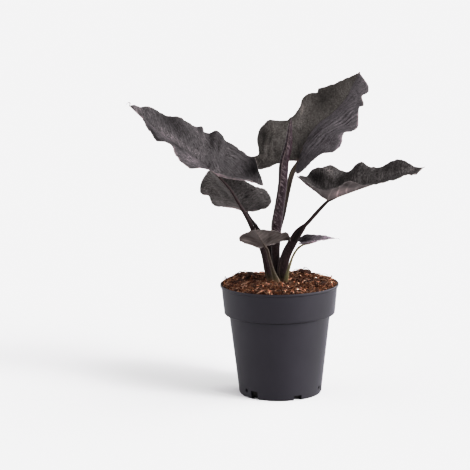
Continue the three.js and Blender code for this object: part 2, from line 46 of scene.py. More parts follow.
# Each open leaf: its joint with the stalk, its tip, and its roll about the midrib in degrees, right side
# down. The midrib's points are [along, left, lift], the margins' [along, out, lift] and the drip tip's
# [beyond the tip, left, lift]. A margin runs from the joint round the basal lobe to the tip. A fold is
# [along, left, along, left, half width, height]: a ridge, or with a negative height a furrow. A pleat is
# [along, left, half length, half width, turn in degrees, spacing, height], an oval of fine ridges, whose
# ridges are also painted lighter and furrows darker, as painted light and shade. Tones say how light the
# left half, the right half and the underside are, partly in the leaf's own colour and partly as painted
# light and shade for how each half is lit. A patch is [along, left, half length, half width, turn in
# degrees, how much lighter]: some are the leaf's own mottling, and others are painted shade in folds,
# curls and under neighbouring leaves, and painted sheen and highlights on ridges and along the midrib.
# For the left and the right half, olive says how far the colour leans to olive, or below 0 to plum, lines
# how strong the streaks and hairs are, and sweep how far the streaks lean forward.
LEAVES = {
    "left": {
        "joint": [-59, -15, 225], "tip": [-148, -3, 295], "roll": -31,
        "midrib": [[28, 0, -0.5], [58, 0, -2], [92, 0, -2.5]],
        "left": [
            [-10, 4, 10], [-22, 9, 24], [-32, 14, 36], [-25, 19, 37], [-12, 23, 31], [0, 25, 26],
            [8, 27, 24.5], [18, 30, 22.5], [25, 31, 14.5], [32, 31, 13], [41, 29.5, 13], [48, 27.5, 15],
            [53, 26, 17.5], [62, 22.8, 13], [70, 19.8, 4.5], [77, 17.8, 5.5], [87, 13.8, 6], [93.5, 7.4, 4],
            [98, 2.6, 2], [106, 0.6, 0.5],
        ],
        "right": [
            [-7, 6, 2], [-18, 11, 5], [-30, 15, 8], [-40, 20, 9.5], [-33, 27, 10], [-26, 32, 11.5],
            [-17.5, 37, 16], [-10, 38.5, 12], [0, 39, 11], [12, 39, 10], [19, 38.5, 9], [23, 38.5, 12],
            [31, 38, 12.5], [35.5, 35.5, 6], [41, 34, 4], [45, 35, 7.5], [49.5, 32.5, 4.5], [60, 28.5, 6],
            [69, 25.5, 7], [80, 21, 2], [91.5, 16, 4], [100, 11.5, 4], [105, 7.2, 1.5], [110, 4.6, 2],
        ],
        "drip": [[0.6, -1.6, 1], [1.6, -2.2, 1.6], [2.8, -1.4, 1.2], [3.4, 0.4, 0], [3, 1.8, -1]],
        "folds": [
            [72, 10, 28, 14, 3.5, 0.9], [27, -34, 12, -12, 3, -0.7], [-12, -34, -27, -22, 4, -0.9],
            [96, -9, 76, -15, 4, 0.7], [52, 17, 44, 26, 2.5, -0.8], [60, -22, 46, -14, 4, 0.6],
        ],
        "tones": [0.42, 0.38, 0.8],
        "olive": [-0.2, -0.1],
        "sweep": [2.5, 1.2],
        "lines": [1.3, 1.2],
        "patches": [
            [106, -1, 8, 5, 0, 0.9], [64, -2, 18, 6, 0, 0.9], [28, 16, 14, 7, 5, 0.5],
            [72, -16, 22, 7, -8, -0.5], [21, -26, 4, 9, 20, -0.4], [-23, -27, 10, 9, 35, -0.9],
            [-19, -20, 6, 6, 0, -0.45], [-20, -37, 6, 7, 0, -0.85], [43, 17, 7, 4, 0, -0.5],
            [37, -25, 9, 8, 0, 0.35], [33, -4, 14, 5, 0, 0.6], [52, 12, 6, 5, 0, -0.5],
            [76, 15.5, 13, 3, -25, -0.8], [24, -14, 5, 5, 0, 0.4], [14, -1, 1.6, 5, 20, -0.5],
            [6, -3, 1.6, 5, 20, 0.5], [-4, 12, 1.6, 6, 30, 0.6], [-11, 18, 1.6, 6, 30, -0.5],
        ],
    },
    "upper": {
        "joint": [20, 20, 234.5], "tip": [84, 55, 320.5], "roll": 20,
        "midrib": [[17, 2, 5], [41, 3, 5], [61, 0, -1], [82, -2, -3], [100, -1, -1]],
        "left": [
            [-3, 8, 3], [-11, 16, 5], [-29, 28, 13], [-24, 38, 22], [-15, 37, 15], [-2, 43, 24],
            [7, 45, 26], [20.5, 44.5, 23.5], [29, 38.5, 13], [35, 35, 10], [51, 33, 9], [60, 32, 14],
            [68, 30, 12], [73.5, 25.5, 8], [77, 25.5, 9.5], [83, 21.5, 7], [92.5, 13.5, 5], [98, 10, 4],
            [104, 7, 2],
        ],
        "right": [
            [-4.5, 2, 0.5], [-9.5, 4.6, 1], [-12.8, 10.3, 2], [-8, 15.5, 4], [3, 22, 7.5], [12, 30, 12.5],
            [24, 39, 7], [34.5, 38.5, 5], [43, 36.5, 8.5], [53, 39, 1], [60, 36.5, -3], [78, 26.5, 0],
            [84, 25.5, -4], [92, 17, -4], [98, 19.5, -5], [104, 16.5, -5],
        ],
        "drip": [[0.6, 0, 0], [1.2, 0, -0.3]],
        "folds": [
            [-12, 34, 14, 24, 3, 1.2], [13, 38, 0, 27, 2.5, -1.2], [45, 28, 38, 14, 3, -0.9],
            [22, -36, 30, -22, 3.5, -1.0], [60, -30, 74, -18, 3.5, 0.8], [8, 6, 60, 4, 3, -0.7],
            [80, 20, 70, 8, 3, 0.7],
        ],
        # The right half's higher tone is partly painted light, for the half turned towards the light.
        "tones": [0.44, 0.57, 1.0],
        "olive": [0.7, -0.35],
        "sweep": [0.6, 3],
        "lines": [0.45, 0.9],
        "patches": [
            [18, 5, 22, 4, 0, -0.35], [5, 37, 10, 5, 30, -0.6], [-9, 30, 9, 4, 0, 0.6],
            [15, 35, 5, 4, 0, 0.6], [38, 22, 15, 7, -10, 1.4], [70, 14, 20, 9, 0, -0.5],
            [86, -25, 4, 3, 0, -0.5], [5, 0, 7, 4, 0, -0.35], [38, -36, 12, 2.5, 10, 0.7],
            [102, -2, 10, 8, 0, -0.35], [44, -14, 44, 6, -4, 0.2], [50, 27, 7, 4, 0, 1.3],
            [99, -4, 12, 8, 0, 0.35], [34, -5, 16, 2.5, -5, -0.45],
        ],
        "pleats": [[42, -16, 38, 12, -16, 4.2, 0.65], [-4, 30, 12, 9, 20, 7, 0.6]],
    },
    "right": {
        "joint": [49, -7, 198.5], "tip": [145, -12, 231], "roll": 10,
        "midrib": [[30, 0, 0.5], [60, 0, 0.5], [85, 0, 0]],
        "left": [
            [-6, 4, 8], [-14, 8, 20], [-20, 15, 29], [-11, 24, 25.5], [-5, 29, 27.5], [3, 31, 26],
            [12.5, 32, 24.5], [25, 31, 13], [43, 29, 18.5], [48.5, 27, 12.5], [60, 24, 8], [78.5, 17, 12.5],
            [85, 14, 10], [94, 6, 1.5],
        ],
        "right": [
            [-6, 4, 10.5], [-14, 7, 25], [-20, 10, 38], [-12, 19, 31], [-6.5, 25, 25.5], [3, 30, 21],
            [13, 32, 20], [20, 32, 20.5], [28, 31, 22], [33, 30.5, 19], [41, 29.5, 12.5], [67, 21, 5.5],
            [83.5, 14, 3], [91, 9, -0.5],
        ],
        "drip": [[0.8, 0, 0.2], [1.6, 0, 0.3]],
        "folds": [
            [-16, 22, -2, 10, 4, -1.5], [14, 28, 10, 12, 3, 1.0], [30, 26, 26, 8, 4, -1.2],
            [46, 24, 42, 8, 3, 0.8], [66, 16, 60, 4, 3, -0.7],
        ],
        "tones": [0.39, 0.39, 0.5],
        "olive": [0.3, 0.3],
        "lines": [1.1, 1.1],
        "patches": [
            [-4, 20, 11, 8, 0, -0.85], [9, 26, 3, 7, 20, 1.8], [16, 15, 7, 8, 0, -0.6],
            [42, 20, 7, 6, 0, -0.4], [59, 5, 9, 4, 0, 0.5], [76, 8, 8, 5, 0, -0.45], [88, 2, 8, 4, 0, 0.7],
            [24, -22, 6, 6, 0, -0.4], [16, -8, 12, 9, -15, 0.9], [52, 21, 1.5, 5, -25, 1.0],
            [59, 15, 1.5, 6, -25, 1.0],
        ],
    },
    "rear": {
        "joint": [-32, 15, 184], "tip": [-69, 80, 220], "roll": 0,
        "midrib": [[25, 0, -1], [55, 0, -1]],
        "left": [
            [-2, 5, 3], [-7, 20, 12.5], [-8, 28, 14.5], [4, 36, 8.5], [14, 36, 7], [24, 34, 7.5],
            [31, 39, 6.5], [44, 34, 8.5], [64, 17, 9],
        ],
        "right": [
            [-3, 6, 2.5], [-8, 16.5, 8.5], [0, 26, 9.5], [12, 31, 9], [25, 31, 9], [38, 26, 5], [55, 18, 5],
            [70, 8, 3],
        ],
        "drip": [[1, 0, 0.2], [2, 0, -0.4]],
        "folds": [
            [2, 26, 30, 12, 3, -0.7], [30, 26, 48, 12, 3, 0.4], [4, -22, 36, -10, 3, 0.7],
        ],
        "tones": [0.46, 0.56, 1.0],
        "olive": [0.4, 0.3],
        "lines": [1.2, 1.1],
        "patches": [
            [44, -13, 7, 4, 0, -0.45], [22, -9.6, 3.5, 2.2, 0, -0.6], [24, -25, 6, 5, 0, 0.6],
            [30, -15, 6, 5, 0, -0.4], [30, 12, 20, 5, 10, -0.5], [10, 30, 6, 3, 0, 0.5],
            [32, 33, 9, 4, 0, 0.8], [5, -20, 4, 4, 0, 0.5],
        ],
    },
    "front_small": {
        "joint": [-13.5, -17, 154], "tip": [-23, -58, 177], "roll": 0,
        "midrib": [[25, 0, -1]],
        "left": [
            [-3, 15.5, 7], [-6, 18, 12], [-9, 21, 13.5], [-8, 23.5, 9], [0, 24, 11], [8, 22.5, 12.5],
            [18, 19.5, 9.5], [33, 12.5, 6], [44, 4.5, 2.5],
        ],
        "right": [[-4, 7, -0.5], [-5, 18, 3], [-4, 27, 5.5], [6, 26.5, 7], [18, 18.5, 6.5], [32, 8, 5.5]],
        "drip": [[1.2, 0, 1], [1.8, 0.5, 2.2]],
        "folds": [[8, 3, 28, 9, 2, 0.6], [6, -8, 16, -20, 2, 0.6], [4, 14, 18, 20, 2, -0.6]],
        "tones": [1.0, 1.0, 0.45],
        "olive": [0.7, 0.7],
        "lines": [1.1, 1.1],
        "patches": [[12, 3, 9, 6, 0, -0.45], [-4, 21, 5, 2.5, 0, -0.6], [-1, -21, 5, 6, 0, 1.0]],
    },
    "right_small": {
        "joint": [24, -23, 156.8], "tip": [56.5, -36, 164.3], "roll": 0,
        "midrib": [[12, 0, 0], [24, 0, 1]],
        "left": [[-5, 4, 3], [-9, 9, 4], [-2, 15, 7.8], [6, 15.5, 6.8], [14, 13.5, 5.2], [24, 8.5, 3.2]],
        "right": [[-2, 6, 2], [4, 10.5, 2.3], [13, 11, 2.4], [22, 8, 1.6], [31, 3.5, 1.2]],
        "drip": [[1.6, 0, 0], [3.2, 0, -0.9], [4.2, 0, -2.2]],
        "folds": [[2, 3, 12, 8, 1.6, -0.5], [14, 0, 26, -1, 1.6, 0.4]],
        "tones": [0.7, 0.7, 1.0],
        "olive": [-0.6, -0.6],
        "lines": [1.1, 1.1],
        "patches": [[27, 3, 13, 12, 0, 1.5], [0, 6, 9, 10, 0, -0.75], [16, -7, 10, 3, 0, 1.0]],
    },
}

# Leaf stalks. Stations run from the buried foot up to the blade, each [x, y, z, width, thickness], and a
# sheath's lie in front of its stalk. Green says how far up the foot stays green, how green it is, how pale
# the stalk is higher up and from which height. Edges are the angles, in radians, of paler lines along it.
STALKS = {
    "left": {
        "stations": [
            [-9.2, -2.5, 99, 6.4, 5.5], [-9.4, -3, 114, 7, 5.5], [-11.7, -4, 127, 7, 5],
            [-15.7, -6, 148, 7, 4.7], [-26, -8.5, 169.5, 4.8, 3.8], [-30.2, -10, 179, 4, 3.2],
            [-38.8, -12, 195, 3.4, 3], [-48.4, -14, 211.6, 2.8, 2.8], [-59, -15, 225, 2.4, 2.4],
        ],
        "sheath": [
            [-17.6, -10, 159, 3, 1.8], [-20.4, -10.8, 166, 4.2, 1.8], [-22.8, -11.4, 173, 4, 1.5],
            [-26.4, -11.6, 179.4, 0.6, 0.4],
        ],
        "green": [14, 0.5, 0, 0],
    },
    "upper": {
        "stations": [
            [-6.5, 12.5, 99, 5, 4.6], [-6.5, 12.5, 114, 5.2, 4.8], [-5.8, 12.8, 130, 5, 4.5],
            [-3.5, 13.5, 147, 5, 4], [0.5, 15, 165, 4.2, 3.6], [4.6, 16, 180, 4.2, 3.4],
            [10.9, 18, 211, 5.2, 3.6], [14.6, 19, 223.5, 5.4, 3.8], [19.4, 20, 234.5, 4.6, 3],
        ],
        "green": [10, 0.4, 0.07, 180],
        "edges": [1.2],
    },
    "right": {
        "stations": [
            [4.3, -5, 99, 8, 6], [4.2, -5, 114.5, 8.5, 6], [3.2, -5.5, 127, 10.5, 5],
            [7, -5.5, 142.4, 9.8, 4.6], [13.2, -5.5, 154.7, 9.2, 4.4], [19, -6, 164.5, 8.4, 4],
            [24, -6, 170.3, 6, 3.4], [26.6, -6, 173, 3.8, 3.4], [30.4, -6, 176.8, 3.6, 3.3],
            [40.7, -6, 188.3, 3.5, 3.2], [49, -7, 198.5, 2.8, 2.6],
        ],
        "sheath": [
            [15, -7.6, 157, 3, 1.6], [19, -8.2, 163.6, 4, 1.6], [22.4, -8.2, 169, 3, 1.4],
            [25.2, -8, 172.6, 0.5, 0.4],
        ],
        "green": [14, 0.4, 0, 0],
    },
    "rear": {
        "stations": [
            [-7.2, 5.5, 99, 4.6, 4.4], [-7, 6, 114, 4.8, 4.4], [-6.8, 7, 126, 4.8, 4.2],
            [-8, 8.5, 140, 6, 4], [-11, 9.5, 152, 7.4, 3.8], [-22, 11, 168, 3.2, 3],
            [-29.1, 13, 177.7, 2.6, 2.6], [-32, 15, 184, 2.2, 2.2],
        ],
        "green": [12, 0.4, 0, 0],
    },
    "front_small": {
        "stations": [
            [-2.4, -12.5, 99, 6, 4], [-2.2, -12.5, 114.5, 7.4, 4], [-4.4, -12.8, 122, 5.4, 3.4],
            [-6.6, -13, 128.5, 3.9, 2.8], [-9.8, -14, 141, 3, 2.4], [-11.6, -16, 149.5, 2.8, 2.2],
            [-12.6, -17, 154, 3, 2],
        ],
        "green": [22, 0.6, 0.04, 115],
        "edges": [0.35, 2.6],
    },
    "right_small": {
        "stations": [
            [6.3, -12.8, 99, 4.6, 4], [6.5, -12.8, 114, 5, 4.2], [7.5, -12.8, 122, 4.4, 3.6],
            [9.7, -12.8, 130.4, 3, 2.6], [14, -16, 143.4, 2.1, 2], [19.6, -21, 152.6, 2, 2],
            [24, -23, 156.8, 1.9, 1.9],
        ],
        "green": [34, 1.0, 0.5, 115],
    },
    "new_leaf": {
        "stations": [
            [-2.8, 3, 99, 7, 6.6], [-3, 3, 114, 7.4, 7], [-3.2, 2, 134, 8, 7], [-3.5, 1, 150, 9, 7.6],
            [-2.8, 0, 167, 10.4, 8.8],
        ],
        "green": [12, 0.4, 0, 0],
    },
}
ROLLED_LEAF = [
    [-3.1, 0, 165, 10.8, 9], [-2.4, 0, 173, 12, 10], [0.8, 0, 192, 10.8, 9.6], [4.1, 0, 214, 10.2, 9],
    [5.8, 0, 236.4, 10.4, 8.4], [10.1, 0, 253.5, 8.6, 7], [12.3, 0, 273, 4.4, 3.8], [13.2, 0, 280, 1, 0.8],
]

# Nursery pot. Each foot has two notches in its edge: [angle from the foot's middle, width, height].
POT_HEIGHT = 112.6
POT_WALL = 1.2
POT_FLOOR = 1.8
RIM_RADIUS = 60
RIM_BEAD_HEIGHT = 2.6
BEAD_ROUNDING = 0.6
RIM_ROUNDING = 0.45
LIP_ROUNDING = 0.35
COLLAR_TOP_RADIUS = 58.8
COLLAR_FOOT_RADIUS = 56.1
COLLAR_DEPTH = 29.7
STEP_RADIUS = 51.2
STEP_HEIGHT = 1.9
BASE_RADIUS = 42
BASE_FILLET = 3
UNDERSIDE_RADII = [20, 34]
FOOT_RADIUS = 40.4
FOOT_ANGLES = [-97.4, 22.6, 142.6]
NOTCHES = [[-31.2, 8.4, 8.2], [32, 8.5, 5]]
NOTCH_LENGTH = 12
NOTCH_BELOW = 1
WEEP_OFFSET_ANGLE = -45.6
WEEP_LENGTH = 6
WEEP_WIDTH = 3
WEEP_BOTTOM = 6.2

# Potting mix. Its sides are rings [radius, height] inside the pot. Heaps are [x, y, rise, half width] and
# lumps are waves [radians per mm along x, along y, start, height]. Chips and grains are [x, y, length,
# width, height, turn in degrees], and the first grains are white and the others stained. A loose fibre's
# stations are [x, y, above the mix, width]. Fibres and lumps are held within limits of their own.
MIX_RADIUS = 57.3
MIX_SIDES = [[57.2, 109], [56.2, 100], [54.6, 83.6], [49.7, 79.6], [40.5, 5.2], [38.2, 2.2]]
MIX_FIBRE_LIMIT = 58.6
MIX_LUMP_LIMIT = 59
MIX_EDGE_DEPTH = 1
MIX_CROWN = 2.4
MIX_HEAPS = [[23, 24, 7, 12], [-34, 24, 4.5, 14], [-46, 2, 2, 9], [34, -18, 2.2, 13], [-12, -30, 1.6, 14]]
MIX_LUMPS = [[0.31, 0.27, 0.9, 0.4], [0.31, -0.27, 1.7, 0.4], [0.41, 0.53, 0, 0.45]]
BARK_CHIPS = [
    [27, 20, 12, 7, 5, 30], [38, 4, 9, 6, 4, 120], [-30, 14, 11, 7, 5, 75], [-42, -6, 9, 6, 4, 10],
    [20, -30, 10, 6, 4, 160], [-18, -38, 9, 6, 4, 50], [-8, 34, 10, 6, 4, 100], [44, -14, 8, 5, 4, 20],
]
PERLITE_GRAINS = [
    [26, -8, 4.5, 4, 3.4, 0], [18, -43, 4.6, 4, 3.4, 40], [37, 10, 4, 3.6, 3, 80], [8, -36, 3.8, 3.4, 3, 15],
    [-26, 2, 4, 3.6, 3, 60], [-34, -22, 3.8, 3.4, 3, 110], [-12, -24, 4, 3.4, 3, 30], [6, 42, 4, 3.6, 3, 70],
]
WHITE_GRAINS = 4
LOOSE_FIBRES = [
    [[-53, 6, -1, 0.9], [-53.4, 6.4, 2, 1], [-54, 7, 4.6, 0.7]],
    [[-46, 20, 0, 0.8], [-43, 21, 3.4, 0.9], [-39.5, 22, 3.8, 0.8], [-37, 23, 2, 0.5]],
    [[-43, 14, 0, 0.7], [-40, 15, 2.6, 0.8], [-38, 16, 4.6, 0.5]],
    [[-30, 30, -1, 0.7], [-27, 31, 2.2, 0.8], [-23, 31, 1, 0.5]],
    [[-57, -6, -0.5, 2.6], [-57.4, -2, 1.4, 3.6], [-57, 3, 0.3, 2.2]],
    [[-55.5, -16, 0, 2.2], [-56.4, -12, 1.2, 3], [-56.8, -7, 0.2, 2]],
    [[-53.5, -24, 0.2, 1.8], [-55, -20, 0.8, 2.4], [-55.6, -16, 0, 1.6]],
]


# Curves and meshes

def unit(vectors):
    """The vectors with length 1."""
    return vectors / np.maximum(np.linalg.norm(vectors, axis=-1, keepdims=True), 1e-12)


def bell(distance, width):
    """1 at no distance, and next to nothing at twice the width."""
    return np.exp(-(distance / width) ** 2)


def ring_angles(count):
    return np.linspace(0, 2 * np.pi, count, endpoint=False)


def spline(points, shares):
    """Points of a centripetal Catmull-Rom curve through the given ones, at shares of its stations."""
    points = np.asarray(points, float)
    p = np.concatenate([[2 * points[0] - points[1]], points, [2 * points[-1] - points[-2]]])
    place = np.clip(np.asarray(shares, float), 0, 1) * (len(points) - 1)
    i = np.minimum(place.astype(int), len(points) - 2)
    t = (place - i)[:, None]
    step = np.maximum(np.linalg.norm(np.diff(p, axis=0), axis=1) ** 0.5, 1e-6)[:, None]
    a, b, c, d = p[i], p[i + 1], p[i + 2], p[i + 3]
    d0, d1, d2 = step[i], step[i + 1], step[i + 2]
    t1 = ((b - a) / d0 - (c - a) / (d0 + d1) + (c - b) / d1) * d1
    t2 = ((c - b) / d1 - (d - b) / (d1 + d2) + (d - c) / d2) * d1
    return b + t1 * t + (3 * (c - b) - 2 * t1 - t2) * t ** 2 + (2 * (b - c) + t1 + t2) * t ** 3


def arc(curve):
    """How far along a curve each of its points lies."""
    return np.concatenate([[0], np.cumsum(np.linalg.norm(np.diff(curve, axis=0), axis=1))])


def at_values(values, known, curve):
    """Points of a curve where a rising value of its points reaches the given values."""
    return np.stack([np.interp(values, known, column) for column in curve.T], 1)


def resample(curve, count):
    """A curve's points again, evenly spaced."""
    lengths = arc(curve)
    return at_values(np.linspace(0, lengths[-1], count), lengths, curve)


def smooth_along(values, lengths, reach):
    """The values averaged with a bell of that half width along a curve."""
    weights = np.exp(-0.5 * ((lengths[:, None] - lengths) / reach) ** 2)
    return weights @ values / weights.sum(1)


def fractal(points, scale, octaves=3, seed=0.0):
    """Smooth noise from -1 to 1 at points of one to three coordinates, with lumps of about that size."""
    shift = Vector((seed, 2.7 * seed, -1.3 * seed))
    places = points.reshape(-1, points.shape[-1])
    values = [noise.fractal(Vector((*p, 0, 0)[:3]) / scale + shift, 1.0, 2.0, octaves) for p in places]
    return np.array(values).reshape(points.shape[:-1])


def turned(points, spin, lean):
    """Points leant about X and then spun about Z."""
    return points @ np.array(Matrix.Rotation(spin, 3, "Z") @ Matrix.Rotation(lean, 3, "X")).T


def add_mesh(name, points, faces, attributes=None, smooth=True):
    """A new object from points in mm."""
    mesh = bpy.data.meshes.new(name)
    mesh.from_pydata((np.asarray(points) * MM).tolist(), [], [list(map(int, face)) for face in faces])
    for key, values in (attributes or {}).items():
        layer = mesh.attributes.new(key, "FLOAT", "POINT")
        layer.data.foreach_set("value", np.asarray(values, np.float32))
    mesh.polygons.foreach_set("use_smooth", np.full(len(mesh.polygons), smooth))
    mesh.update()
    piece = bpy.data.objects.new(name, mesh)
    bpy.context.collection.objects.link(piece)
    return piece


def finish_piece(piece, material, slot, *nodes):
    """Gives a piece its material and says which CAD nodes it replaces. The slot is not used."""
    piece.data.materials.clear()
    piece.data.materials.append(material)
    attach(piece, "root")
    if nodes:
        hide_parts(*nodes)


def grid_faces(rows, columns, closed=False):
    """Quads of a grid of points, rows by columns, with the columns joined in a ring if closed."""
    i, j = np.meshgrid(np.arange(rows - 1), np.arange(columns if closed else columns - 1), indexing="ij")
    k = (j + 1) % columns
    corners = [i * columns + j, i * columns + k, (i + 1) * columns + k, (i + 1) * columns + j]
    return np.stack([c.ravel() for c in corners], 1)


def tube_faces(rings, sides):
    """Faces of a tube with a fan over each end, whose two middle points follow those of the rings."""
    start = rings * sides
    last = start - sides
    faces = grid_faces(rings, sides, closed=True).tolist()
    for j in range(sides):
        k = (j + 1) % sides
        faces += [[k, j, start], [last + j, last + k, start + 1]]
    return faces


def weld(points, faces, values):
    """Joins points that lie at one place and drops faces that have shrunk to a line."""
    keys = np.round(points / 1e-4).astype(np.int64)
    _, first, to = np.unique(keys, axis=0, return_index=True, return_inverse=True)
    kept = []
    for face in to.ravel()[faces]:
        corners = [c for n, c in enumerate(face) if c != face[n - 1]]
        if len(corners) > 2:
            kept.append(corners)
    return points[first], kept, {key: value[first] for key, value in values.items()}


def point_normals(points, faces):
    """The mean direction of the faces round each point."""
    normals = np.zeros_like(points)
    for size in (3, 4):
        group = np.array([face for face in faces if len(face) == size])
        across = points[group[:, 2]] - points[group[:, 0]]
        other = points[group[:, -1]] - points[group[:, 1]]
        for corner in range(size):
            np.add.at(normals, group[:, corner], np.cross(across, other))
    return unit(normals)


def thick_faces(faces, count):
    """A sheet's faces, the same ones turned round on its other side, and a strip that joins their edges."""
    both = []
    open_edges = {}
    for face in faces:
        both += [face, [count + corner for corner in face[::-1]]]
        for n, corner in enumerate(face):
            edge = (face[n - 1], corner)
            if not open_edges.pop(edge[::-1], False):
                open_edges[edge] = True
    return both + [[a, count + a, count + b, b] for a, b in open_edges]


# Leaf blades. The thickness is the same on every leaf. The rake, arch and bow are shares of the blade's
# width, and the sizes after them are for a leaf of full size.

BLADE_THICKNESS = 0.5
BLADE_COLUMNS = 36
CURVE_POINTS = 1500
ROWS_PER_VEIN = 13
VEIN_RAKE = 0.4
ARCH = 0.05
FORWARD_BOW = 0.09
VEIN_SPACING = 11
SWELL_REACH = 7
CALM_LENGTH = 8
BULGE = 0.38
FURROW = 0.16
FLUTTER = 1.1
MARGIN_DROOP = 0.8
RIB_GROOVE = 0.35
RIB_RIDGE = 1.1
VEIN_RIDGE = 0.14
DRIP_WIDTH = 1.0


def leaf_length(leaf):
    return float(np.linalg.norm(np.subtract(leaf["tip"], leaf["joint"])))


def midrib_curve(leaf, count):
    """Points [along, left, lift] from the joint to the tip."""
    return spline([[0, 0, 0], *leaf["midrib"], [leaf_length(leaf), 0, 0]], np.linspace(0, 1, count))


def in_place(leaf, points):
    """Points [along, left, lift] of a leaf as [x, y, z]."""
    along = unit(np.subtract(leaf["tip"], leaf["joint"]).astype(float))
    roll = np.array(Matrix.Rotation(math.radians(leaf["roll"]), 3, Vector(along)))
    left = roll @ unit(np.cross(UP, along))
    return np.asarray(leaf["joint"]) + points @ np.stack([along, left, np.cross(along, left)])


def turned_places(x, y, along, left, turn):
    """Places [x, y] seen from [along, left] in a direction turned by some degrees."""
    c, s = math.cos(math.radians(turn)), math.sin(math.radians(turn))
    return (x - along) * c + (y - left) * s, (y - left) * c - (x - along) * s


def fold_heights(leaf, x, y):
    total = np.zeros_like(x)
    for ax, ay, bx, by, half_width, height in leaf["folds"]:
        run = np.array([bx - ax, by - ay], float)
        share = np.clip(((x - ax) * run[0] + (y - ay) * run[1]) / (run @ run), 0, 1)
        total += height * bell(np.hypot(x - ax - share * run[0], y - ay - share * run[1]), half_width)
    return total


def pleat_heights(leaf, x, y):
    total = np.zeros_like(x)
    for along, left, half_length, half_width, turn, spacing, height in leaf.get("pleats", []):
        ahead, aside = turned_places(x, y, along, left, turn)
        hold = np.exp(-(ahead / half_length) ** 4 - (aside / half_width) ** 4)
        wander = 0.9 * np.sin(0.11 * ahead + 0.35 * aside)
        total += height * hold * np.sin(2 * np.pi * aside / spacing + wander)
    return total


def patch_tones(leaf, x, y):
    tone = np.ones_like(x)
    for along, left, half_length, half_width, turn, lighter in leaf["patches"]:
        ahead, aside = turned_places(x, y, along, left, turn)
        tone *= 1 + lighter * bell(ahead, half_length) * bell(aside, half_width)
    return tone


def blade_rows(leaf, side, scale):
    """Where the rows of a half blade start on a rib and end on the margin, and how many a basal rib has.
    They leave the basal rib towards the sinus, then towards the outer margin, and then the midrib."""
    tip = [leaf_length(leaf), 0, 0]
    spacing = VEIN_SPACING * scale
    margin = [[along, side * out, lift] for along, out, lift in leaf["left" if side > 0 else "right"]]
    edge = spline([[0, 0, 0], *margin, tip], np.linspace(0, 1, CURVE_POINTS))
    root = edge[:, 0] - VEIN_RAKE * np.abs(edge[:, 1])
    lobe_tip = int(np.argmin(edge[:CURVE_POINTS // 2, 0]))
    lobe_end = lobe_tip + int(np.argmax(root[lobe_tip:] > 0))
    wide = edge[(lobe_tip + lobe_end) // 2]
    rib_end = 0.6 * edge[lobe_tip] + 0.16 * wide
    rib_bend = 0.5 * rib_end + 0.06 * (wide - edge[lobe_tip])
    rib = spline([[0, 0, 0], rib_bend, rib_end], np.linspace(0, 1, 60))
    rib_rows = max(2, round(arc(rib)[-1] / spacing)) * ROWS_PER_VEIN
    midrib_rows = max(6, round(tip[0] / spacing)) * ROWS_PER_VEIN
    rib = resample(rib, rib_rows + 1)
    midrib = resample(midrib_curve(leaf, CURVE_POINTS), midrib_rows + 1)[1:]
    sinus = resample(edge[:lobe_tip + 1], rib_rows + 1)
    lobe = resample(edge[lobe_tip:lobe_end + 1], rib_rows + 1)[1:]
    ahead = edge[lobe_end:]
    climb = 0.75 * np.maximum.accumulate(root[lobe_end:]) + 0.25 * tip[0] * arc(ahead) / arc(ahead)[-1]
    forward = at_values(midrib[:, 0], climb, ahead)
    forward[-1] = tip
    return np.concatenate([rib, rib[-2::-1], midrib]), np.concatenate([sinus, lobe, forward]), rib_rows


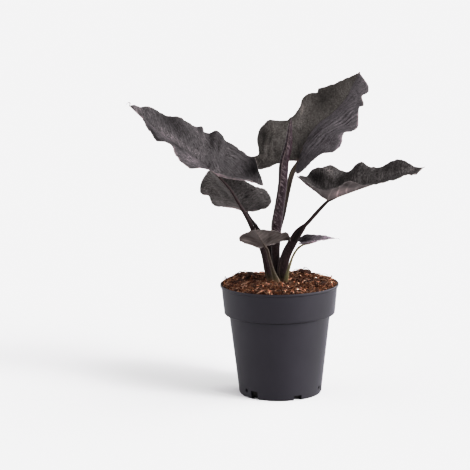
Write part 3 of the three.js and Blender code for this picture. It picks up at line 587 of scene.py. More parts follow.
def half_blade(leaf, half, scale):
    """Half 0, the left one, or half 1: points from the ribs in column 0 to the margin, faces and values."""
    side = 1 - 2 * half
    length = leaf_length(leaf)
    inner, outer, rib_rows = blade_rows(leaf, side, scale)
    place = np.arange(len(inner)) / ROWS_PER_VEIN
    reach = np.linalg.norm((outer - inner)[:, :2], axis=1)[:, None]
    even = np.linspace(0, 1, BLADE_COLUMNS + 1)
    u = 0.5 * even + 0.25 * (1 - np.cos(np.pi * even))
    arch = 4 * u * (1 - u)

    # The margin's lift is a broad swell, which reaches the rib, and ruffles, which die out inwards.
    lengths = arc(outer)
    calm = np.minimum(1, np.minimum(lengths, lengths[-1] - lengths) / (CALM_LENGTH * scale))
    ruffle = calm * (outer[:, 2] - smooth_along(outer[:, 2], lengths, SWELL_REACH * scale))
    across = outer - inner
    across[:, 2] -= ruffle
    grid = inner[:, None] + across[:, None] * u[:, None]
    x, y, z = np.moveaxis(grid, 2, 0)
    z += ruffle[:, None] * u ** 2.2 + ARCH * arch * np.linalg.norm(across, axis=1)[:, None]
    fade = np.clip((place - place[2 * rib_rows]) / 2.5, 0, 1) * np.clip((place[-1] - place) / 2, 0, 1)
    x -= FORWARD_BOW * arch * fade[:, None] * reach

    # Between the side veins the blade bulges a little, and the veins lie in furrows.
    phase = (place - np.round(place))[:, None]
    uneven = 0.6 + 0.8 * fractal(grid[:, :, :2], 14 * scale, 2, 5 + side)
    relief = BULGE * uneven * (0.5 - 0.5 * np.cos(2 * np.pi * phase)) - FURROW * bell(phase, 0.1)
    z += scale * relief * reach / reach.max() * np.clip(6 * u, 0, 1) * np.clip(5 * (1 - u), 0, 1)

    # Then come the leaf's own folds and pleats, a soft unevenness, and a flutter of the margin.
    z += fold_heights(leaf, x, y)
    pleats = pleat_heights(leaf, x, y) * np.clip(4 * (1 - u), 0, 1)
    z += pleats
    seed = 3.1 * side + 0.01 * length
    wave = fractal(grid[:, :, :2], 16 * scale, 2, seed) + 0.6 * fractal(grid[:, :, :2], 5 * scale, 3, seed)
    z += scale * wave * np.clip(3 * u, 0, 1) * np.clip(2.5 * (1 - u), 0.25, 1) * np.clip(reach / 6, 0, 1)
    flutter = FLUTTER * fractal(lengths[:, None], 4.5 * scale, 2, seed + 9)[:, None]
    z += scale * calm[:, None] * (flutter * u ** 7 - MARGIN_DROOP * u ** 12)

    # The drip tip goes on past the blade's tip.
    shares = np.linspace(0, 1, 9)[1:]
    drip = spline([[0, 0, 0], *leaf["drip"]], shares) + [length, 0, 0]
    width = DRIP_WIDTH * scale * (1 - shares) ** 0.7
    y[-1] += side * DRIP_WIDTH * scale * u
    tail = np.repeat(drip[:, None], len(u), axis=1)
    tail[:, :, 1] += side * width[:, None] * u
    grid = np.concatenate([grid, tail])

    pleats = np.concatenate([pleats, np.zeros(tail.shape[:2])])
    row = np.concatenate([place, np.full(len(drip), place[-1])])[:, None]
    widths = np.concatenate([np.linalg.norm(outer - inner, axis=1), width])[:, None]
    outwards, from_margin = widths * u, widths * (1 - u)
    along_midrib = arc(np.concatenate([inner[2 * rib_rows:], drip]))
    rib_size = np.concatenate([
        0.5 * np.abs(1 - np.arange(2 * rib_rows) / rib_rows), 1 - along_midrib / (1.05 * length),
    ])
    rib_size = np.clip(rib_size, 0.12, 1)[:, None]
    # Patches paint shade into folds, curls and under neighbouring leaves, and sheen and highlights on ridges
    # and midribs, besides the leaf's own mottling.
    patches = patch_tones(leaf, grid[:, :, 0], grid[:, :, 1])
    values = {
        "vein_place": row * VEIN_SPACING * scale - leaf.get("sweep", (0, 0))[half] * outwards,
        "outwards": outwards,
        # Pleat ridges are painted lighter and their furrows darker: painted light and shade.
        "tone": leaf["tones"][half] * patches * (1 + 0.45 * pleats),
        "olive": np.full(outwards.shape, leaf["olive"][half]),
        "lines": np.full(outwards.shape, leaf["lines"][half]),
        "rib": rib_size * bell(outwards, 0.3 + 0.8 * scale * rib_size),
        "vein": bell(row - np.round(row), 0.09) * np.clip(from_margin / 6, 0, 1),
        "rim": bell(from_margin, 0.9),
        "thinning": np.clip(from_margin / 1.2, 0.35, 1),
    }
    faces = grid_faces(len(grid), len(u))
    if side > 0:
        faces = faces[:, ::-1]
    return grid.reshape(-1, 3), faces, {key: value.ravel() for key, value in values.items()}


def make_blade(name, material):
    leaf = LEAVES[name]
    scale = min(1.0, 0.45 + leaf_length(leaf) / 200)
    left, right = (half_blade(leaf, half, scale) for half in (0, 1))
    points, faces, values = weld(
        np.concatenate([left[0], right[0]]),
        np.concatenate([left[1], right[1] + len(left[0])]),
        {key: np.concatenate([left[2][key], right[2][key]]) for key in left[2]},
    )
    normals = point_normals(points, faces)

    # The midrib and the basal ribs stand out underneath and lie in a groove on top.
    half_thickness = BLADE_THICKNESS / 2 * values.pop("thinning")
    ridges = scale * (RIB_RIDGE * values["rib"] + VEIN_RIDGE * values["vein"])
    top = points + normals * (half_thickness - RIB_GROOVE * scale * values["rib"])[:, None]
    under = points - normals * (half_thickness + ridges)[:, None]
    count = len(points)
    values["heart"] = bell(np.linalg.norm(points, axis=1), 2.2 * scale)
    both = {key: np.tile(value, 2) for key, value in values.items()}
    both["underside"] = np.repeat([0.0, 1.0], count)
    both["tone"][count:] = leaf["tones"][2] * patch_tones(leaf, points[:, 0], points[:, 1])
    placed = in_place(leaf, np.concatenate([top, under]))
    piece = add_mesh(f"leaf_{name}", placed, thick_faces(faces, count), both)
    finish_piece(piece, material, "blade", f"blade_{name}")


# Leaf stalks and the rolled leaf. Angles are in radians, from the left through the front to the right. A
# stalk goes on under its leaf's midrib through joints [along, how far below, how thick], where the last two
# are shares of its width.

STALK_CREASE = 0.8
RIB_JOINTS = [[0.5, 0.9, 0.95], [4, 0.75, 0.8], [9, 0.5, 0.55], [15, 0.2, 0.3]]
PALE_FADE = 20
BROWN_FADE = 5
ROLL_EDGE = 0.75
ROLL_TWIST = 0.7


def sweep(stations, steps, sides, section=None):
    """Points and faces of a closed tube through stations [x, y, z, width, thickness], and how far along and
    what share of a turn round it each point lies. The section gives a radius for each angle and share of
    the length. Without one the tube is oval."""
    stations = np.asarray(stations, float)
    shares = np.linspace(0, 1, steps + 1)
    path = spline(stations[:, :3], shares)
    sizes = spline(stations[:, 3:], shares)
    tangents = unit(np.gradient(path, axis=0))
    face = unit(FRONT - (tangents @ FRONT)[:, None] * tangents)
    across = np.cross(face, tangents)
    angles = ring_angles(sides)
    radius = section(angles, shares[:, None]) if section else 1
    x = np.cos(angles) * radius * sizes[:, :1] / 2
    y = np.sin(angles) * radius * sizes[:, 1:] / 2
    rings = path[:, None] + across[:, None] * x[:, :, None] + face[:, None] * y[:, :, None]
    ends = [path[0] - tangents[0] * 0.2, path[-1] + tangents[-1] * 0.3 * sizes[-1, 0]]
    points = np.concatenate([rings.reshape(-1, 3), ends])
    lengths = np.concatenate([np.repeat(arc(path), sides), [0, arc(path)[-1]]])
    turn = np.concatenate([np.tile(angles / (2 * np.pi), steps + 1), [0, 0]])
    return points, tube_faces(steps + 1, sides), lengths, turn


def stalk_section(angle, share):
    """A sharp crease low down, where the sheath closes, and a shallow groove higher up."""
    away = (angle - STALK_CREASE + np.pi) % (2 * np.pi) - np.pi
    sheathed = np.clip(1 - share * 1.6, 0, 1)
    lip = 1 - 0.22 * sheathed * bell(away, 0.22)
    return lip * (1 - 0.1 * (1 - sheathed) * bell(away, 0.5))


def make_stalk(name, material):
    stalk = STALKS[name]
    stations = list(stalk["stations"])
    if name in LEAVES:
        leaf = LEAVES[name]
        rib = midrib_curve(leaf, 200)
        width = stations.pop()[3]
        for along, lower, size in RIB_JOINTS:
            aside, lift = (np.interp(along, rib[:, 0], rib[:, k]) for k in (1, 2))
            point = in_place(leaf, np.array([along, aside, lift - lower * width / 2]))
            stations.append([*point, width * size, width * size])
    points, faces, lengths, turn = sweep(stations, 22 * (len(stations) - 1), 28, stalk_section)
    height, strength, paleness, pale_from = stalk["green"]
    above = points[:, 2] - POT_HEIGHT + MIX_EDGE_DEPTH
    angle = turn * 2 * np.pi
    edge = bell(angle - STALK_CREASE, 0.1) * np.clip(2 - above / height, 0, 1)
    for paler in stalk.get("edges", []):
        edge += 0.6 * bell(angle - paler, 0.22)
    piece = add_mesh(f"stalk_{name}", points, faces, {
        "green": strength * np.clip(1 - above / height, 0, 1),
        "pale": paleness * np.clip((points[:, 2] - pale_from) / PALE_FADE, 0, 1),
        "foot": np.clip(1.7 - above / BROWN_FADE, 0, 1),
        "edge": edge, "along": lengths, "turn": turn,
    })
    finish_piece(piece, material, "stalk", f"petiole_{name}")
    if "sheath" in stalk:
        points, faces, lengths, turn = sweep(stalk["sheath"], 36, 20)
        values = {"along": lengths, "turn": turn, "dark": np.ones(len(points))}
        finish_piece(add_mesh(f"sheath_{name}", points, faces, values), material, "stalk")


def roll_wrap(angle, share):
    """The share of a turn from the rolled leaf's outer edge, which winds round it."""
    return (angle - ROLL_EDGE - ROLL_TWIST * share) % (2 * np.pi) / (2 * np.pi)


def roll_section(angle, share):
    wrap = roll_wrap(angle, share)
    return 1.0 - 0.17 * wrap + 0.03 * bell(wrap, 0.03)


def make_rolled_leaf(material):
    points, faces, lengths, turn = sweep(ROLLED_LEAF, 150, 96, roll_section)
    wrap = roll_wrap(turn * 2 * np.pi, lengths / lengths.max())
    piece = add_mesh("new_leaf_roll", points, faces, {"along": lengths, "turn": turn, "wrap": wrap})
    finish_piece(piece, material, "rolled_leaf", "rolled_new_leaf")


# Nursery pot

LATHE_SEGMENTS = 192
SHARP_ANGLE = 38
WALL_SHARES = [0.02, 0.1, 0.3, 0.5, 0.7, 0.85, 0.95, 0.98]
COLLAR_SHARES = [0.05, 0.3, 0.6, 0.9, 0.98]


def arc_points(middle, radii, start, end, count):
    """Points of a round stretch, from one angle in degrees to another."""
    angles = np.radians(np.linspace(start, end, count))
    return [[middle[0] + radii[0] * math.cos(a), middle[1] + radii[1] * math.sin(a)] for a in angles]


def line_points(start, end, shares):
    return [[a + share * (b - a) for a, b in zip(start, end)] for share in shares]


def pot_profile():
    """The pot's closed cross-section, from the middle of its underside round to the middle of its floor."""
    collar_foot = POT_HEIGHT - COLLAR_DEPTH
    step_foot = collar_foot - STEP_HEIGHT
    bead_foot = POT_HEIGHT - RIM_BEAD_HEIGHT
    lip = RIM_RADIUS - POT_WALL
    return [
        [0, 0], *[[radius, 0] for radius in UNDERSIDE_RADII],
        *arc_points([FOOT_RADIUS, BASE_FILLET], [BASE_RADIUS - FOOT_RADIUS, BASE_FILLET], -90, 0, 7),
        *line_points([BASE_RADIUS, BASE_FILLET], [STEP_RADIUS, step_foot], WALL_SHARES),
        [STEP_RADIUS + 0.1, step_foot + 0.15], [STEP_RADIUS + 0.7, step_foot + 0.5],
        [COLLAR_FOOT_RADIUS - 0.9, collar_foot - 0.7], [COLLAR_FOOT_RADIUS - 0.3, collar_foot - 0.25],
        [COLLAR_FOOT_RADIUS, collar_foot + 0.3],
        *line_points([COLLAR_FOOT_RADIUS, collar_foot], [COLLAR_TOP_RADIUS, bead_foot], COLLAR_SHARES),
        *arc_points([RIM_RADIUS - BEAD_ROUNDING, bead_foot + 0.7], [BEAD_ROUNDING] * 2, -60, 0, 4),
        *arc_points([RIM_RADIUS - RIM_ROUNDING, POT_HEIGHT - RIM_ROUNDING], [RIM_ROUNDING] * 2, 0, 90, 5),
        *arc_points([lip + LIP_ROUNDING, POT_HEIGHT - LIP_ROUNDING], [LIP_ROUNDING] * 2, 90, 180, 4),
        [lip, POT_HEIGHT - 1.2], [COLLAR_TOP_RADIUS - POT_WALL, bead_foot - 0.4],
        [COLLAR_FOOT_RADIUS - POT_WALL, collar_foot + 0.6], [STEP_RADIUS - POT_WALL, step_foot + 0.6],
        [BASE_RADIUS - POT_WALL, BASE_FILLET + POT_FLOOR], [FOOT_RADIUS - POT_FLOOR, POT_FLOOR],
        [0, POT_FLOOR],
    ]


def lathe(profile, segments):
    """Points and faces of a profile [radius, height] turned about Z, with points on the axis welded."""
    rings = [[[r * math.cos(a), r * math.sin(a), z] for a in ring_angles(segments)] for r, z in profile]
    faces = grid_faces(len(profile), segments, closed=True)
    return weld(np.array(rings).reshape(-1, 3), faces, {})[:2]


def cutter(name, boxes):
    """A tool of boxes [angle, bottom, length, width, height] that reach through the foot of the wall."""
    corners = np.array([[x, y, z] for x in (-0.5, 0.5) for y in (-0.5, 0.5) for z in (0, 1)])
    sides = np.array([[0, 1, 3, 2], [4, 6, 7, 5], [0, 4, 5, 1], [2, 3, 7, 6], [0, 2, 6, 4], [1, 5, 7, 3]])
    points, faces = [], []
    for n, (angle, bottom, length, width, height) in enumerate(boxes):
        box = corners * [length, width, height] + [BASE_RADIUS, 0, bottom]
        points.append(turned(box, math.radians(angle), 0))
        faces.append(sides + 8 * n)
    return add_mesh(name, np.concatenate(points), np.concatenate(faces), smooth=False)


def make_pot(material):
    pot = add_mesh("pot_shell", *lathe(pot_profile(), LATHE_SEGMENTS))
    notches = [
        [angle + offset, -NOTCH_BELOW, NOTCH_LENGTH, width, NOTCH_BELOW + height]
        for angle in FOOT_ANGLES for offset, width, height in NOTCHES
    ]
    weeps = [
        [angle + WEEP_OFFSET_ANGLE, WEEP_BOTTOM, WEEP_LENGTH, WEEP_WIDTH, WEEP_WIDTH]
        for angle in FOOT_ANGLES
    ]
    cutters = [cutter("cut_notches", notches), cutter("cut_weeps", weeps)]
    for tool in cutters:
        cut = pot.modifiers.new(tool.name, "BOOLEAN")
        cut.object = tool
        cut.solver = "EXACT"
    bpy.context.view_layer.update()
    cut_mesh = bpy.data.meshes.new_from_object(pot.evaluated_get(bpy.context.evaluated_depsgraph_get()))
    pot.modifiers.clear()
    pot.data = cut_mesh
    for tool in cutters:
        bpy.data.objects.remove(tool)
    cut_mesh.polygons.foreach_set("use_smooth", np.full(len(cut_mesh.polygons), True))
    cut_mesh.set_sharp_from_angle(angle=math.radians(SHARP_ANGLE))
    finish_piece(pot, material, "pot_plastic", "nursery_pot")


# Potting mix

def mix_height(x, y):
    radius = np.hypot(x, y) / RIM_RADIUS
    height = POT_HEIGHT - MIX_EDGE_DEPTH + MIX_CROWN * (1 - radius ** 2)
    for heap_x, heap_y, rise, spread in MIX_HEAPS:
        height = height + rise * bell(x - heap_x, spread) * bell(y - heap_y, spread)
    for along_x, along_y, start, lump in MIX_LUMPS:
        height = height + lump * np.sin(along_x * x + along_y * y + start) * (1 - radius ** 4)
    return height


def make_mix(material):
    rings, segments = 96, 400
    radii = MIX_RADIUS * np.linspace(0.004, 1, rings) ** 0.8
    angles = ring_angles(segments)
    circle = np.stack([np.cos(angles), np.sin(angles)], 1)
    flat = (radii[:, None, None] * circle).reshape(-1, 2)
    crumbs = 1.5 * (1 - 2 * np.abs(fractal(flat, 6, 2, 4.0))) + 0.9 * fractal(flat, 2.4, 3, 8.0) - 1.2
    top = np.column_stack([flat, mix_height(*flat.T) + crumbs])
    sides = [np.column_stack([radius * circle, np.full(segments, height)]) for radius, height in MIX_SIDES]
    ends = [top[:segments].mean(0), [0, 0, MIX_SIDES[-1][1]]]
    points = np.concatenate([top, *sides, ends])
    faces = [face[::-1] for face in tube_faces(rings + len(sides), segments)]
    relief = np.concatenate([crumbs, np.zeros(len(points) - len(crumbs))])
    # Below the surface the mix, seen only through the notches, is painted near black: painted shade inside
    # the pot.
    shade = np.clip((100 - points[:, 2]) / 10, 0, 1)
    bed = add_mesh("mix_bed", points, faces, {"shade": shade, "relief": relief})
    finish_piece(bed, material, "mix", "potting_mix")


def on_mix(rng, count, outer):
    """Random places [x, y] on the mix, spread evenly by area out to a radius."""
    radius = np.sqrt(rng.uniform(0, outer ** 2, count))
    angle = rng.uniform(0, 2 * np.pi, count)
    return np.stack([radius * np.cos(angle), radius * np.sin(angle)], 1)


def make_fibres(name, material, seed, count, lengths, widths, lift):
    """Thin curved fibres that lie on the mix, each a tube of six three-cornered rings."""
    rng = np.random.default_rng(seed)
    middle = on_mix(rng, count, 57)
    turn = rng.uniform(0, 2 * np.pi, (count, 1))
    length = rng.uniform(*lengths, (count, 1))
    bend = rng.normal(0, 0.22, (count, 1))
    width = rng.uniform(*widths, (count, 1))
    rise = np.abs(rng.normal(0, lift, (count, 1)))
    tilt = rng.normal(0, lift * 0.5, (count, 1))
    stations = np.linspace(-0.5, 0.5, 6)
    x = middle[:, :1] + length * (stations * np.cos(turn) - bend * stations ** 2 * np.sin(turn))
    y = middle[:, 1:] + length * (stations * np.sin(turn) + bend * stations ** 2 * np.cos(turn))
    pull = np.minimum(1, MIX_FIBRE_LIMIT / np.hypot(x, y))
    x, y = x * pull, y * pull
    ground = mix_height(x, y)
    z = 0.5 * ground + 0.5 * ground.mean(1, keepdims=True) + 0.5
    z = z + rise * (1 - 4 * stations ** 2) + tilt * stations * 2 + rng.uniform(-0.3, 0.9, (count, 1))
    path = np.stack([x, y, z], 2)
    tangent = unit(np.gradient(path, axis=1))
    side = unit(np.cross(tangent, UP))
    over = np.cross(side, tangent)
    thick = width * [0.45, 0.9, 1, 0.95, 0.8, 0.35]
    corners = []
    for angle in ring_angles(3) + 0.5:
        out = math.cos(angle) * side + 0.6 * math.sin(angle) * over
        corners.append(path + out * thick[:, :, None])
    points = np.stack(corners, 2).reshape(-1, 3)
    steps = len(stations)
    last = 3 * steps - 3
    fibre = [*grid_faces(steps, 3, closed=True).tolist(), [0, 2, 1], [last, last + 1, last + 2]]
    faces = [[3 * steps * i + corner for corner in face] for i in range(count) for face in fibre]
    shade = np.repeat(rng.uniform(0, 1, count), 3 * steps)
    finish_piece(add_mesh(name, points, faces, {"shade": shade}), material, "mix")


def ball(detail):
    """Points and triangles of a ball of radius 1."""
    made = bmesh.new()
    bmesh.ops.create_icosphere(made, subdivisions=detail, radius=1.0)
    points = np.array([v.co[:] for v in made.verts])
    faces = np.array([[v.index for v in f.verts] for f in made.faces])
    made.free()
    return points, faces


def make_lumps(name, material, slot, seed, count, detail, sizes, flatness, rough, sink, outer):
    """Crumbs, bark bits or grains strewn over the mix."""
    rng = np.random.default_rng(seed)
    base, triangles = ball(detail)
    points, faces, shade = [], [], []
    for i, (x, y) in enumerate(on_mix(rng, count, outer)):
        size = rng.uniform(*sizes)
        stretch = np.array([1, rng.uniform(0.35, 0.8), rng.uniform(*flatness)]) * size / 2
        spin, lean = rng.uniform(0, 2 * math.pi), rng.normal(0, 0.5)
        shape = turned(base * (1 + rng.normal(0, rough, (len(base), 1))) * stretch, spin, lean)
        z = mix_height(x, y) + 0.4 + sink * size * rng.uniform(0.2, 1)
        pull = min(1, (MIX_LUMP_LIMIT - size / 2) / np.hypot(x, y))
        points.append(shape + [x * pull, y * pull, z])
        faces.append(triangles + i * len(base))
        shade.append(np.full(len(base), rng.uniform(0, 1) ** 1.7))
    values = {"shade": np.concatenate(shade)}
    piece = add_mesh(name, np.concatenate(points), np.concatenate(faces), values, smooth=False)
    finish_piece(piece, material, slot)


def make_loose_fibre(name, stations, material):
    """A curled fibre that sticks up from the mix."""
    path = [[x, y, mix_height(x, y) + above, width, width * 0.6] for x, y, above, width in stations]
    points, faces, _, _ = sweep(path, 20, 6)
    finish_piece(add_mesh(name, points, faces, {"shade": np.full(len(points), 0.2)}), material, "mix")


def make_named_chip(name, node, row, material, slot, seed, ridges, shade):
    """One larger piece on the mix, in the place of its CAD node."""
    x, y, length, width, height, turn = row
    base, triangles = ball(3)
    shape = base * [length / 2, width / 2, height / 2]
    layers = np.sin(shape[:, 1] * 3.1 + 2 * fractal(shape, 4, 2, seed + 5)) * ridges
    shape = shape * (1 + 0.36 * fractal(shape, 2.2, 3, seed) + layers)[:, None]
    shape = turned(shape, math.radians(turn), 0.15 * math.sin(seed))
    shape += [x, y, mix_height(x, y) + 0.3 + height * 0.2]
    piece = add_mesh(name, shape, triangles, {"shade": np.full(len(shape), shade)})
    finish_piece(piece, material, slot, node)


# Materials

class Nodes:
    """A node tree and short ways to add to it. A value is a number, a colour, a socket or the name of an
    attribute that the mesh carries."""

    def __init__(self, tree):
        self.tree = tree
        tree.nodes.clear()

    def put(self, socket, value):
        if isinstance(value, str):
            value = self.add("Attribute", attribute_name=value).outputs["Fac"]
        if isinstance(value, bpy.types.NodeSocket):
            self.tree.links.new(value, socket)
        else:
            socket.default_value = (*value, 1) if socket.type == "RGBA" else value

    def fill(self, node, *values, **named):
        for socket, value in zip([s for s in node.inputs if s.enabled], values):
            self.put(socket, value)
        for key, value in named.items():
            self.put(node.inputs[key.replace("_", " ")], value)
        return node

    def add(self, kind, *values, **options):
        """A new node. Options with a capital are sockets, and the others are settings."""
        node = self.tree.nodes.new(f"ShaderNode{kind}")
        for key in [key for key in options if key.islower()]:
            setattr(node, key, options.pop(key))
        return self.fill(node, *values, **options)

    def maths(self, operation, a, b, clamp=False):
        return self.add("Math", a, b, operation=operation, use_clamp=clamp).outputs[0]

    def times(self, a, b):
        return self.maths("MULTIPLY", a, b)

    def plus(self, a, b, clamp=False):
        return self.maths("ADD", a, b, clamp)

    def ramp(self, value, low, high, end=1.0, start=0.0):
        """From start to end while the value goes from low to high, and level beyond."""
        return self.add("MapRange", value, From_Min=low, From_Max=high, To_Min=start, To_Max=end).outputs[0]


class Look(Nodes):
    """A procedural material."""

    def __init__(self, name):
        self.material = bpy.data.materials.new(name)
        self.material.use_nodes = True
        super().__init__(self.material.node_tree)
        self.shader = self.add("BsdfPrincipled")
        self.add("OutputMaterial", self.shader.outputs[0])
        self.place = self.add("TexCoord").outputs["Object"]

    def noise(self, scale, detail=3.0, roughness=0.55, place=None):
        place = place or self.place
        return self.add("TexNoise", Vector=place, Scale=scale, Detail=detail, Roughness=roughness).outputs[0]

    def vector(self, *values):
        return self.add("CombineXYZ", *values).outputs[0]

    def colours(self, value, *stops):
        node = self.add("ValToRGB", value)
        elements = node.color_ramp.elements
        while len(elements) < len(stops):
            elements.new(0.5)
        for element, (position, colour) in zip(elements, stops):
            element.position = position
            element.color = (*colour, 1)
        return node.outputs[0]

    def mix(self, share, a, b, kind="MIX"):
        return self.add("Mix", share, a, b, data_type="RGBA", blend_type=kind).outputs[2]

    def layers(self, colour, *layers):
        """A colour with others laid over it, each (share, colour)."""
        for share, over in layers:
            colour = self.mix(share, colour, over)
        return colour

    def bump(self, height, distance, below=None):
        """Bumps of a depth in mm, on top of other bumps below them."""
        node = self.add("Bump", Height=height, Distance=distance * MM, Strength=1.0)
        if below:
            self.put(node.inputs["Normal"], below)
        return node.outputs[0]

    def finish(self, colour, roughness, specular, **more):
        self.fill(self.shader, Base_Color=colour, Roughness=roughness, Specular_IOR_Level=specular, **more)
        return self.material


def leaf_look():
    look = Look("velvet_leaf")
    start = look.plus("vein_place", look.times(look.noise(60, 2), 3))
    streaks = look.noise(0.9, 3, 0.65, look.vector(start, look.times("outwards", 0.06)))
    fibres = look.noise(1.0, 3, 0.75, look.vector(start, look.times("outwards", 0.35)))
    cloth, blisters, nap = look.noise(45, 4, 0.65), look.noise(240, 3, 0.6), look.noise(800, 3, 0.7)
    hairy = look.times("lines", look.ramp(look.noise(70, 2), 0.4, 0.6, 1, 0.45))
    top = look.layers(
        look.colours(cloth, (0.32, (0.045, 0.041, 0.041)), (0.68, (0.085, 0.078, 0.08))),
        (look.ramp(blisters, 0.45, 0.7, 0.4), (0.13, 0.119, 0.122)),
        (look.ramp(nap, 0.5, 0.64, 0.55), (0.178, 0.165, 0.17)),
        (look.ramp(nap, 0.49, 0.36, 0.3), (0.02, 0.018, 0.018)),
        (look.times(look.ramp(streaks, 0.5, 0.68, 0.6), "lines"), (0.19, 0.17, 0.18)),
        (look.times(look.ramp(streaks, 0.46, 0.3, 0.65), "lines"), (0.018, 0.015, 0.015)),
        (look.times(look.ramp(fibres, 0.5, 0.66, 0.85), hairy), (0.23, 0.21, 0.215)),
        (look.times(look.ramp(fibres, 0.48, 0.3, 0.9), hairy), (0.012, 0.01, 0.01)),
        (look.times("vein", 0.12), (0.12, 0.1, 0.105)),
        (look.times("rib", 0.3), (0.1, 0.08, 0.085)),
    )
    under = look.layers(
        look.colours(cloth, (0.3, (0.104, 0.088, 0.092)), (0.7, (0.178, 0.152, 0.158))),
        (look.ramp(streaks, 0.45, 0.75, 0.45), (0.1, 0.073, 0.07)),
        (look.times("rib", 0.6), (0.1, 0.07, 0.062)),
        (look.times("vein", 0.5), (0.26, 0.23, 0.232)),
    )
    colour = look.mix("underside", top, under)
    # The tone carries painted light and shade from the tones, patches and pleats, besides the leaves' own
    # colour.
    colour = look.mix(1.0, colour, look.vector("tone", "tone", "tone"), "MULTIPLY")
    colour = look.mix(look.ramp("olive", 0, 1), colour, (1.0, 0.98, 0.86), "MULTIPLY")
    colour = look.mix(look.ramp("olive", 0, -1), colour, (1.0, 0.94, 1.05), "MULTIPLY")
    broken_rim = look.times("rim", look.ramp(look.noise(260, 3, 0.6), 0.42, 0.62, 0.5))
    colour = look.layers(
        colour, (broken_rim, (0.27, 0.235, 0.23)), (look.times("heart", 0.45), (0.16, 0.115, 0.105)),
    )
    normal = look.bump(look.noise(300, 4, 0.65), 0.4, look.bump(streaks, 0.25))
    return look.finish(colour, 0.7, 0.02, Normal=look.bump(nap, 0.24, normal))


def stalk_look():
    look = Look("leaf_stalk")
    streaks = look.noise(900, 4, 0.6, look.vector(look.times("turn", 0.05), look.times("along", 0.0003)))
    mottle = look.noise(160, 3)
    green = look.colours(streaks, (0.35, (0.026, 0.023, 0.008)), (0.7, (0.09, 0.082, 0.03)))
    colour = look.layers(
        look.colours(streaks, (0.35, (0.0038, 0.0018, 0.002)), (0.7, (0.0185, 0.0105, 0.0105))),
        (look.ramp(look.noise(1300, 3, 0.7), 0.5, 0.68, 0.55), (0.066, 0.046, 0.05)),
        ("pale", look.colours(streaks, (0.35, (0.13, 0.115, 0.08)), (0.7, (0.28, 0.25, 0.17)))),
        (look.times("green", look.ramp(mottle, 0.2, 0.6, 1, 0.5)), green),
        (look.times("edge", 0.55), (0.17, 0.14, 0.105)),
        (look.times("foot", 0.45), (0.16, 0.085, 0.055)),
        (look.times("dark", 0.85), (0.004, 0.0025, 0.0025)),
    )
    return look.finish(colour, 0.5, 0.06, Normal=look.bump(streaks, 0.15, look.bump(mottle, 0.2)))


ROLLED_COLOURS = [
    (0.38, (0.005, 0.002, 0.003)), (0.5, (0.017, 0.0105, 0.0125)), (0.6, (0.1, 0.076, 0.083)),
]


def rolled_look():
    look = Look("rolled_leaf")
    slant = look.plus("along", look.times("turn", 26))
    veins = look.noise(0.55, 3, 0.6, look.vector(slant, look.times("turn", 14)))
    mottle = look.noise(330, 4, 0.65)
    share = look.plus(look.times(veins, 0.6), look.times(mottle, 0.4))
    right_side = look.times(look.ramp("turn", 0.25, 0.34), look.ramp("turn", 0.64, 0.56))
    colour = look.layers(
        look.colours(share, *ROLLED_COLOURS),
        (look.times(look.ramp("wrap", 0.0, 0.035, 0, 1), 0.6), (0.16, 0.12, 0.12)),
        # Painted shade: the roll is darkened just under its overlapping outer edge.
        (look.ramp("wrap", 0.84, 1.0, 0.8), (0.008, 0.003, 0.005)),
        (look.times(right_side, 0.72), (0.012, 0.0045, 0.008)),
    )
    return look.finish(colour, 0.48, 0.12, Normal=look.bump(veins, 0.5, look.bump(mottle, 0.12)))


def pot_look():
    look = Look("pot_plastic")
    clouds = look.noise(30, 4, 0.6)
    colour = look.colours(clouds, (0.3, (0.0053, 0.0047, 0.0063)), (0.7, (0.0076, 0.0068, 0.009)))
    normal = look.bump(look.noise(1600, 3, 0.6), 0.03, look.bump(look.noise(45, 2), 0.25))
    roughness = look.ramp(clouds, 0.3, 0.7, 0.56, 0.5)
    return look.finish(colour, roughness, 0.25, Normal=normal, Specular_Tint=(1.0, 0.97, 1.09))


def crumb_look(name, stops, roughness=0.85, bump=0.3):
    look = Look(name)
    grain = look.noise(900, 4, 0.7)
    value = look.plus(look.times("shade", 0.55), look.times(look.noise(220, 3), 0.45))
    value = look.plus(value, look.times(look.maths("SUBTRACT", grain, 0.5), 1.1), True)
    return look.finish(look.colours(value, *stops), roughness, 0.15, Normal=look.bump(grain, bump))


def bed_look():
    look = Look("mix_bed")
    coarse, fine = look.noise(170, 5, 0.65), look.noise(800, 4, 0.7)
    value = look.plus(look.times(coarse, 0.5), look.times(fine, 0.5))
    # The tops of the crumbly relief are painted lighter and its hollows darker: painted light and shade.
    value = look.plus(value, look.ramp("relief", -1.6, 1.2, 0.16, -0.16))
    colour = look.colours(
        value, (0.42, (0.002, 0.0006, 0.0003)), (0.5, (0.03, 0.0105, 0.0045)), (0.6, (0.19, 0.085, 0.043)),
    )
    # Painted shade: the mix below the surface is painted near black.
    colour = look.mix("shade", colour, (0.002, 0.0015, 0.001))
    return look.finish(colour, 0.9, 0.2, Normal=look.bump(fine, 0.8, look.bump(coarse, 2.0)))


# Camera, floor and light. The camera stands at a distance and an angle of rise from a point above the
# origin, and has a yaw, a pitch and a roll of its own. Angles are in degrees.

CAMERA_DISTANCE = 2000
CAMERA_RISE = 12.59
CAMERA_AIM_HEIGHT = 60
CAMERA_YAW = -1.30
CAMERA_PITCH = 9.69
CAMERA_ROLL = -0.77
FOCAL_PIXELS = 1960.6
FRAME_PIXELS = 470
SENSOR_WIDTH = 36
FLOOR_HALF_SIDE = 20000

# Suns are [name, compass direction, height, strength, spread], with angles in degrees and 0 in front, 90 on
# the right.
SUNS = [["key", 56, 31, 3.8, 26], ["low", 66, 24, 1.5, 26]]

# How the camera turns light into tone: it deepens the shades and holds back the lights.
TONE_CURVE = [
    [0, 0], [0.02, 0.009], [0.05, 0.028], [0.1, 0.066], [0.2, 0.15], [0.4, 0.43], [0.7, 0.65], [1, 0.72],
    [1.3, 0.79], [1.6, 0.86], [2.2, 0.91], [4, 0.96],
]


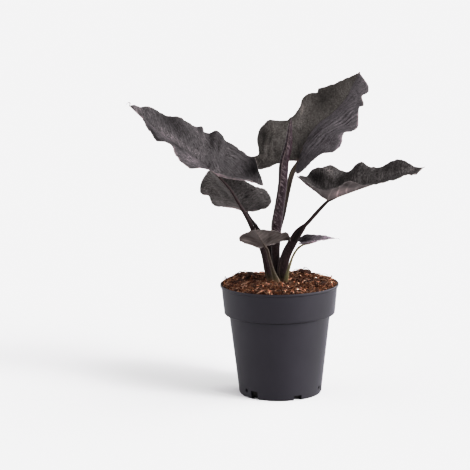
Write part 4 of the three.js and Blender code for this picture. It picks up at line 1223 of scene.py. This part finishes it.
def make_camera():
    rise, yaw, pitch, roll = (math.radians(v) for v in (CAMERA_RISE, CAMERA_YAW, CAMERA_PITCH, CAMERA_ROLL))
    data = bpy.data.cameras.new("camera")
    data.sensor_width = SENSOR_WIDTH
    data.lens = FOCAL_PIXELS / FRAME_PIXELS * SENSOR_WIDTH
    data.clip_start, data.clip_end = 0.05, 100
    camera = bpy.data.objects.new("camera", data)
    bpy.context.collection.objects.link(camera)
    ahead = Vector((math.sin(yaw) * math.cos(pitch), math.cos(yaw) * math.cos(pitch), -math.sin(pitch)))
    right = Vector((math.cos(yaw), -math.sin(yaw), 0))
    over = right.cross(ahead)
    level = math.cos(roll) * right + math.sin(roll) * over
    upright = math.cos(roll) * over - math.sin(roll) * right
    turn = Matrix((level, upright, -ahead)).transposed().to_4x4()
    away, up = CAMERA_DISTANCE * math.cos(rise), CAMERA_DISTANCE * math.sin(rise) + CAMERA_AIM_HEIGHT
    camera.matrix_world = Matrix.Translation(Vector((0, -away, up)) * MM) @ turn
    bpy.context.scene.camera = camera


def add_sun(name, azimuth, height, strength, spread):
    data = bpy.data.lights.new(name, "SUN")
    data.energy = strength
    data.angle = math.radians(spread)
    sun = bpy.data.objects.new(name, data)
    bpy.context.collection.objects.link(sun)
    a, h = math.radians(azimuth), math.radians(height)
    source = Vector((math.sin(a) * math.cos(h), -math.cos(a) * math.cos(h), math.sin(h)))
    sun.rotation_mode = "QUATERNION"
    sun.rotation_quaternion = source.to_track_quat("Z", "Y")


def make_world():
    """Light from low down, strong from the right, weaker from the left, and faint from the rear and from the
    front right. The camera itself sees a plain pale ground."""
    world = bpy.data.worlds.new("studio")
    world.use_nodes = True
    nodes = Nodes(world.node_tree)
    direction = nodes.add("TexCoord").outputs["Generated"]
    rightwards, rearwards, upwards = nodes.add("SeparateXYZ", direction).outputs
    front_right = nodes.add("VectorMath", direction, (0.766, -0.643, 0), operation="DOT_PRODUCT")
    low_down = nodes.ramp(upwards, 0.8, 0.3)
    total = 0.0
    for value, low, high, strength in (
        (rightwards, 0.35, 1.0, 14), (rightwards, -0.25, -1.0, 6.5), (rearwards, 0.45, 0.95, 1.0),
        (front_right.outputs["Value"], 0.2, 0.95, 1.5),
    ):
        total = nodes.plus(total, nodes.times(nodes.ramp(value, low, high, strength), low_down))
    lit = nodes.add("Background", (1.0, 0.995, 1.0), total)
    plain = nodes.add("Background", (0.9, 0.895, 0.905), 1.0)
    camera_ray = nodes.add("LightPath").outputs["Is Camera Ray"]
    seen = nodes.add("MixShader", camera_ray, lit.outputs[0], plain.outputs[0])
    nodes.add("OutputWorld", seen.outputs[0])
    bpy.context.scene.world = world


def make_floor():
    far = FLOOR_HALF_SIDE
    corners = [[-far, -far, 0], [far, -far, 0], [far, far, 0], [-far, far, 0]]
    floor = add_mesh("floor", corners, [[0, 1, 2, 3]])
    look = Look("pale_floor")
    colour = look.colours(look.noise(2, 2), (0, (0.84, 0.835, 0.845)), (1, (0.86, 0.855, 0.865)))
    floor.data.materials.append(look.finish(colour, 0.8, 0.1))


def set_tone_curve():
    view = bpy.context.scene.view_settings
    view.view_transform = "Standard"
    view.look = "None"
    view.use_curve_mapping = True
    view.curve_mapping.clip_max_x = TONE_CURVE[-1][0]
    points = view.curve_mapping.curves[3].points
    while len(points) < len(TONE_CURVE):
        points.new(0.5, 0.5)
    for point, place in zip(points, TONE_CURVE):
        point.location = place
        point.handle_type = "AUTO_CLAMPED"
    view.curve_mapping.update()


# Everything together

make_camera()
make_world()
for sun in SUNS:
    add_sun(*sun)
make_floor()
set_tone_curve()

leaf_material = leaf_look()
for leaf_name in LEAVES:
    make_blade(leaf_name, leaf_material)

stalk_material = stalk_look()
for stalk_name in STALKS:
    make_stalk(stalk_name, stalk_material)
make_rolled_leaf(rolled_look())

make_pot(pot_look())

COIR = [
    (0.16, (0.005, 0.001, 0.0003)), (0.41, (0.048, 0.013, 0.0043)), (0.63, (0.185, 0.073, 0.031)),
    (0.97, (0.58, 0.41, 0.31)),
]
BARK = [(0.1, (0.006, 0.0025, 0.002)), (0.5, (0.025, 0.009, 0.005)), (1.0, (0.11, 0.046, 0.027))]
PERLITE = [(0.0, (0.06, 0.03, 0.019)), (0.4, (0.2, 0.125, 0.09)), (1.0, (0.75, 0.66, 0.57))]
coir = crumb_look("coir", COIR)
bark = crumb_look("bark", BARK)
perlite = crumb_look("perlite", PERLITE, 0.9, 0.5)
make_mix(bed_look())
make_fibres("coir_fine", coir, 11, 3600, (4, 11), (0.12, 0.3), 0.7)
make_fibres("coir_coarse", coir, 12, 900, (4, 11), (0.35, 0.75), 1.3)
make_fibres("coir_loose", bark, 13, 90, (7, 15), (0.22, 0.42), 2.6)
make_lumps("mix_crumbs", coir, "mix", 21, 2300, 1, (0.9, 2.2), (0.4, 0.8), 0.25, 0.1, 58.4)
make_lumps("mix_lumps", bark, "mix", 24, 420, 2, (2, 4), (0.5, 0.8), 0.2, 0.1, 57)
make_lumps("bark_bits", bark, "bark", 22, 300, 2, (2.5, 6), (0.4, 0.6), 0.15, 0.16, 57)
make_lumps("perlite_bits", perlite, "perlite", 23, 14, 2, (1.2, 2.2), (0.7, 0.95), 0.12, 0.25, 53)
for index, fibre in enumerate(LOOSE_FIBRES, 1):
    make_loose_fibre(f"loose_fibre_{index}", fibre, bark)
for index, chip in enumerate(BARK_CHIPS, 1):
    make_named_chip(f"chip_{index}", f"bark_chip_{index}", chip, bark, "bark", 1.7 * index, 0.05, 0.3)
for index, grain in enumerate(PERLITE_GRAINS, 1):
    whiteness = 1.0 if index <= WHITE_GRAINS else 0.1
    node = f"perlite_grain_{index}"
    make_named_chip(f"grain_{index}", node, grain, perlite, "perlite", 2.3 * index, 0.0, whiteness)
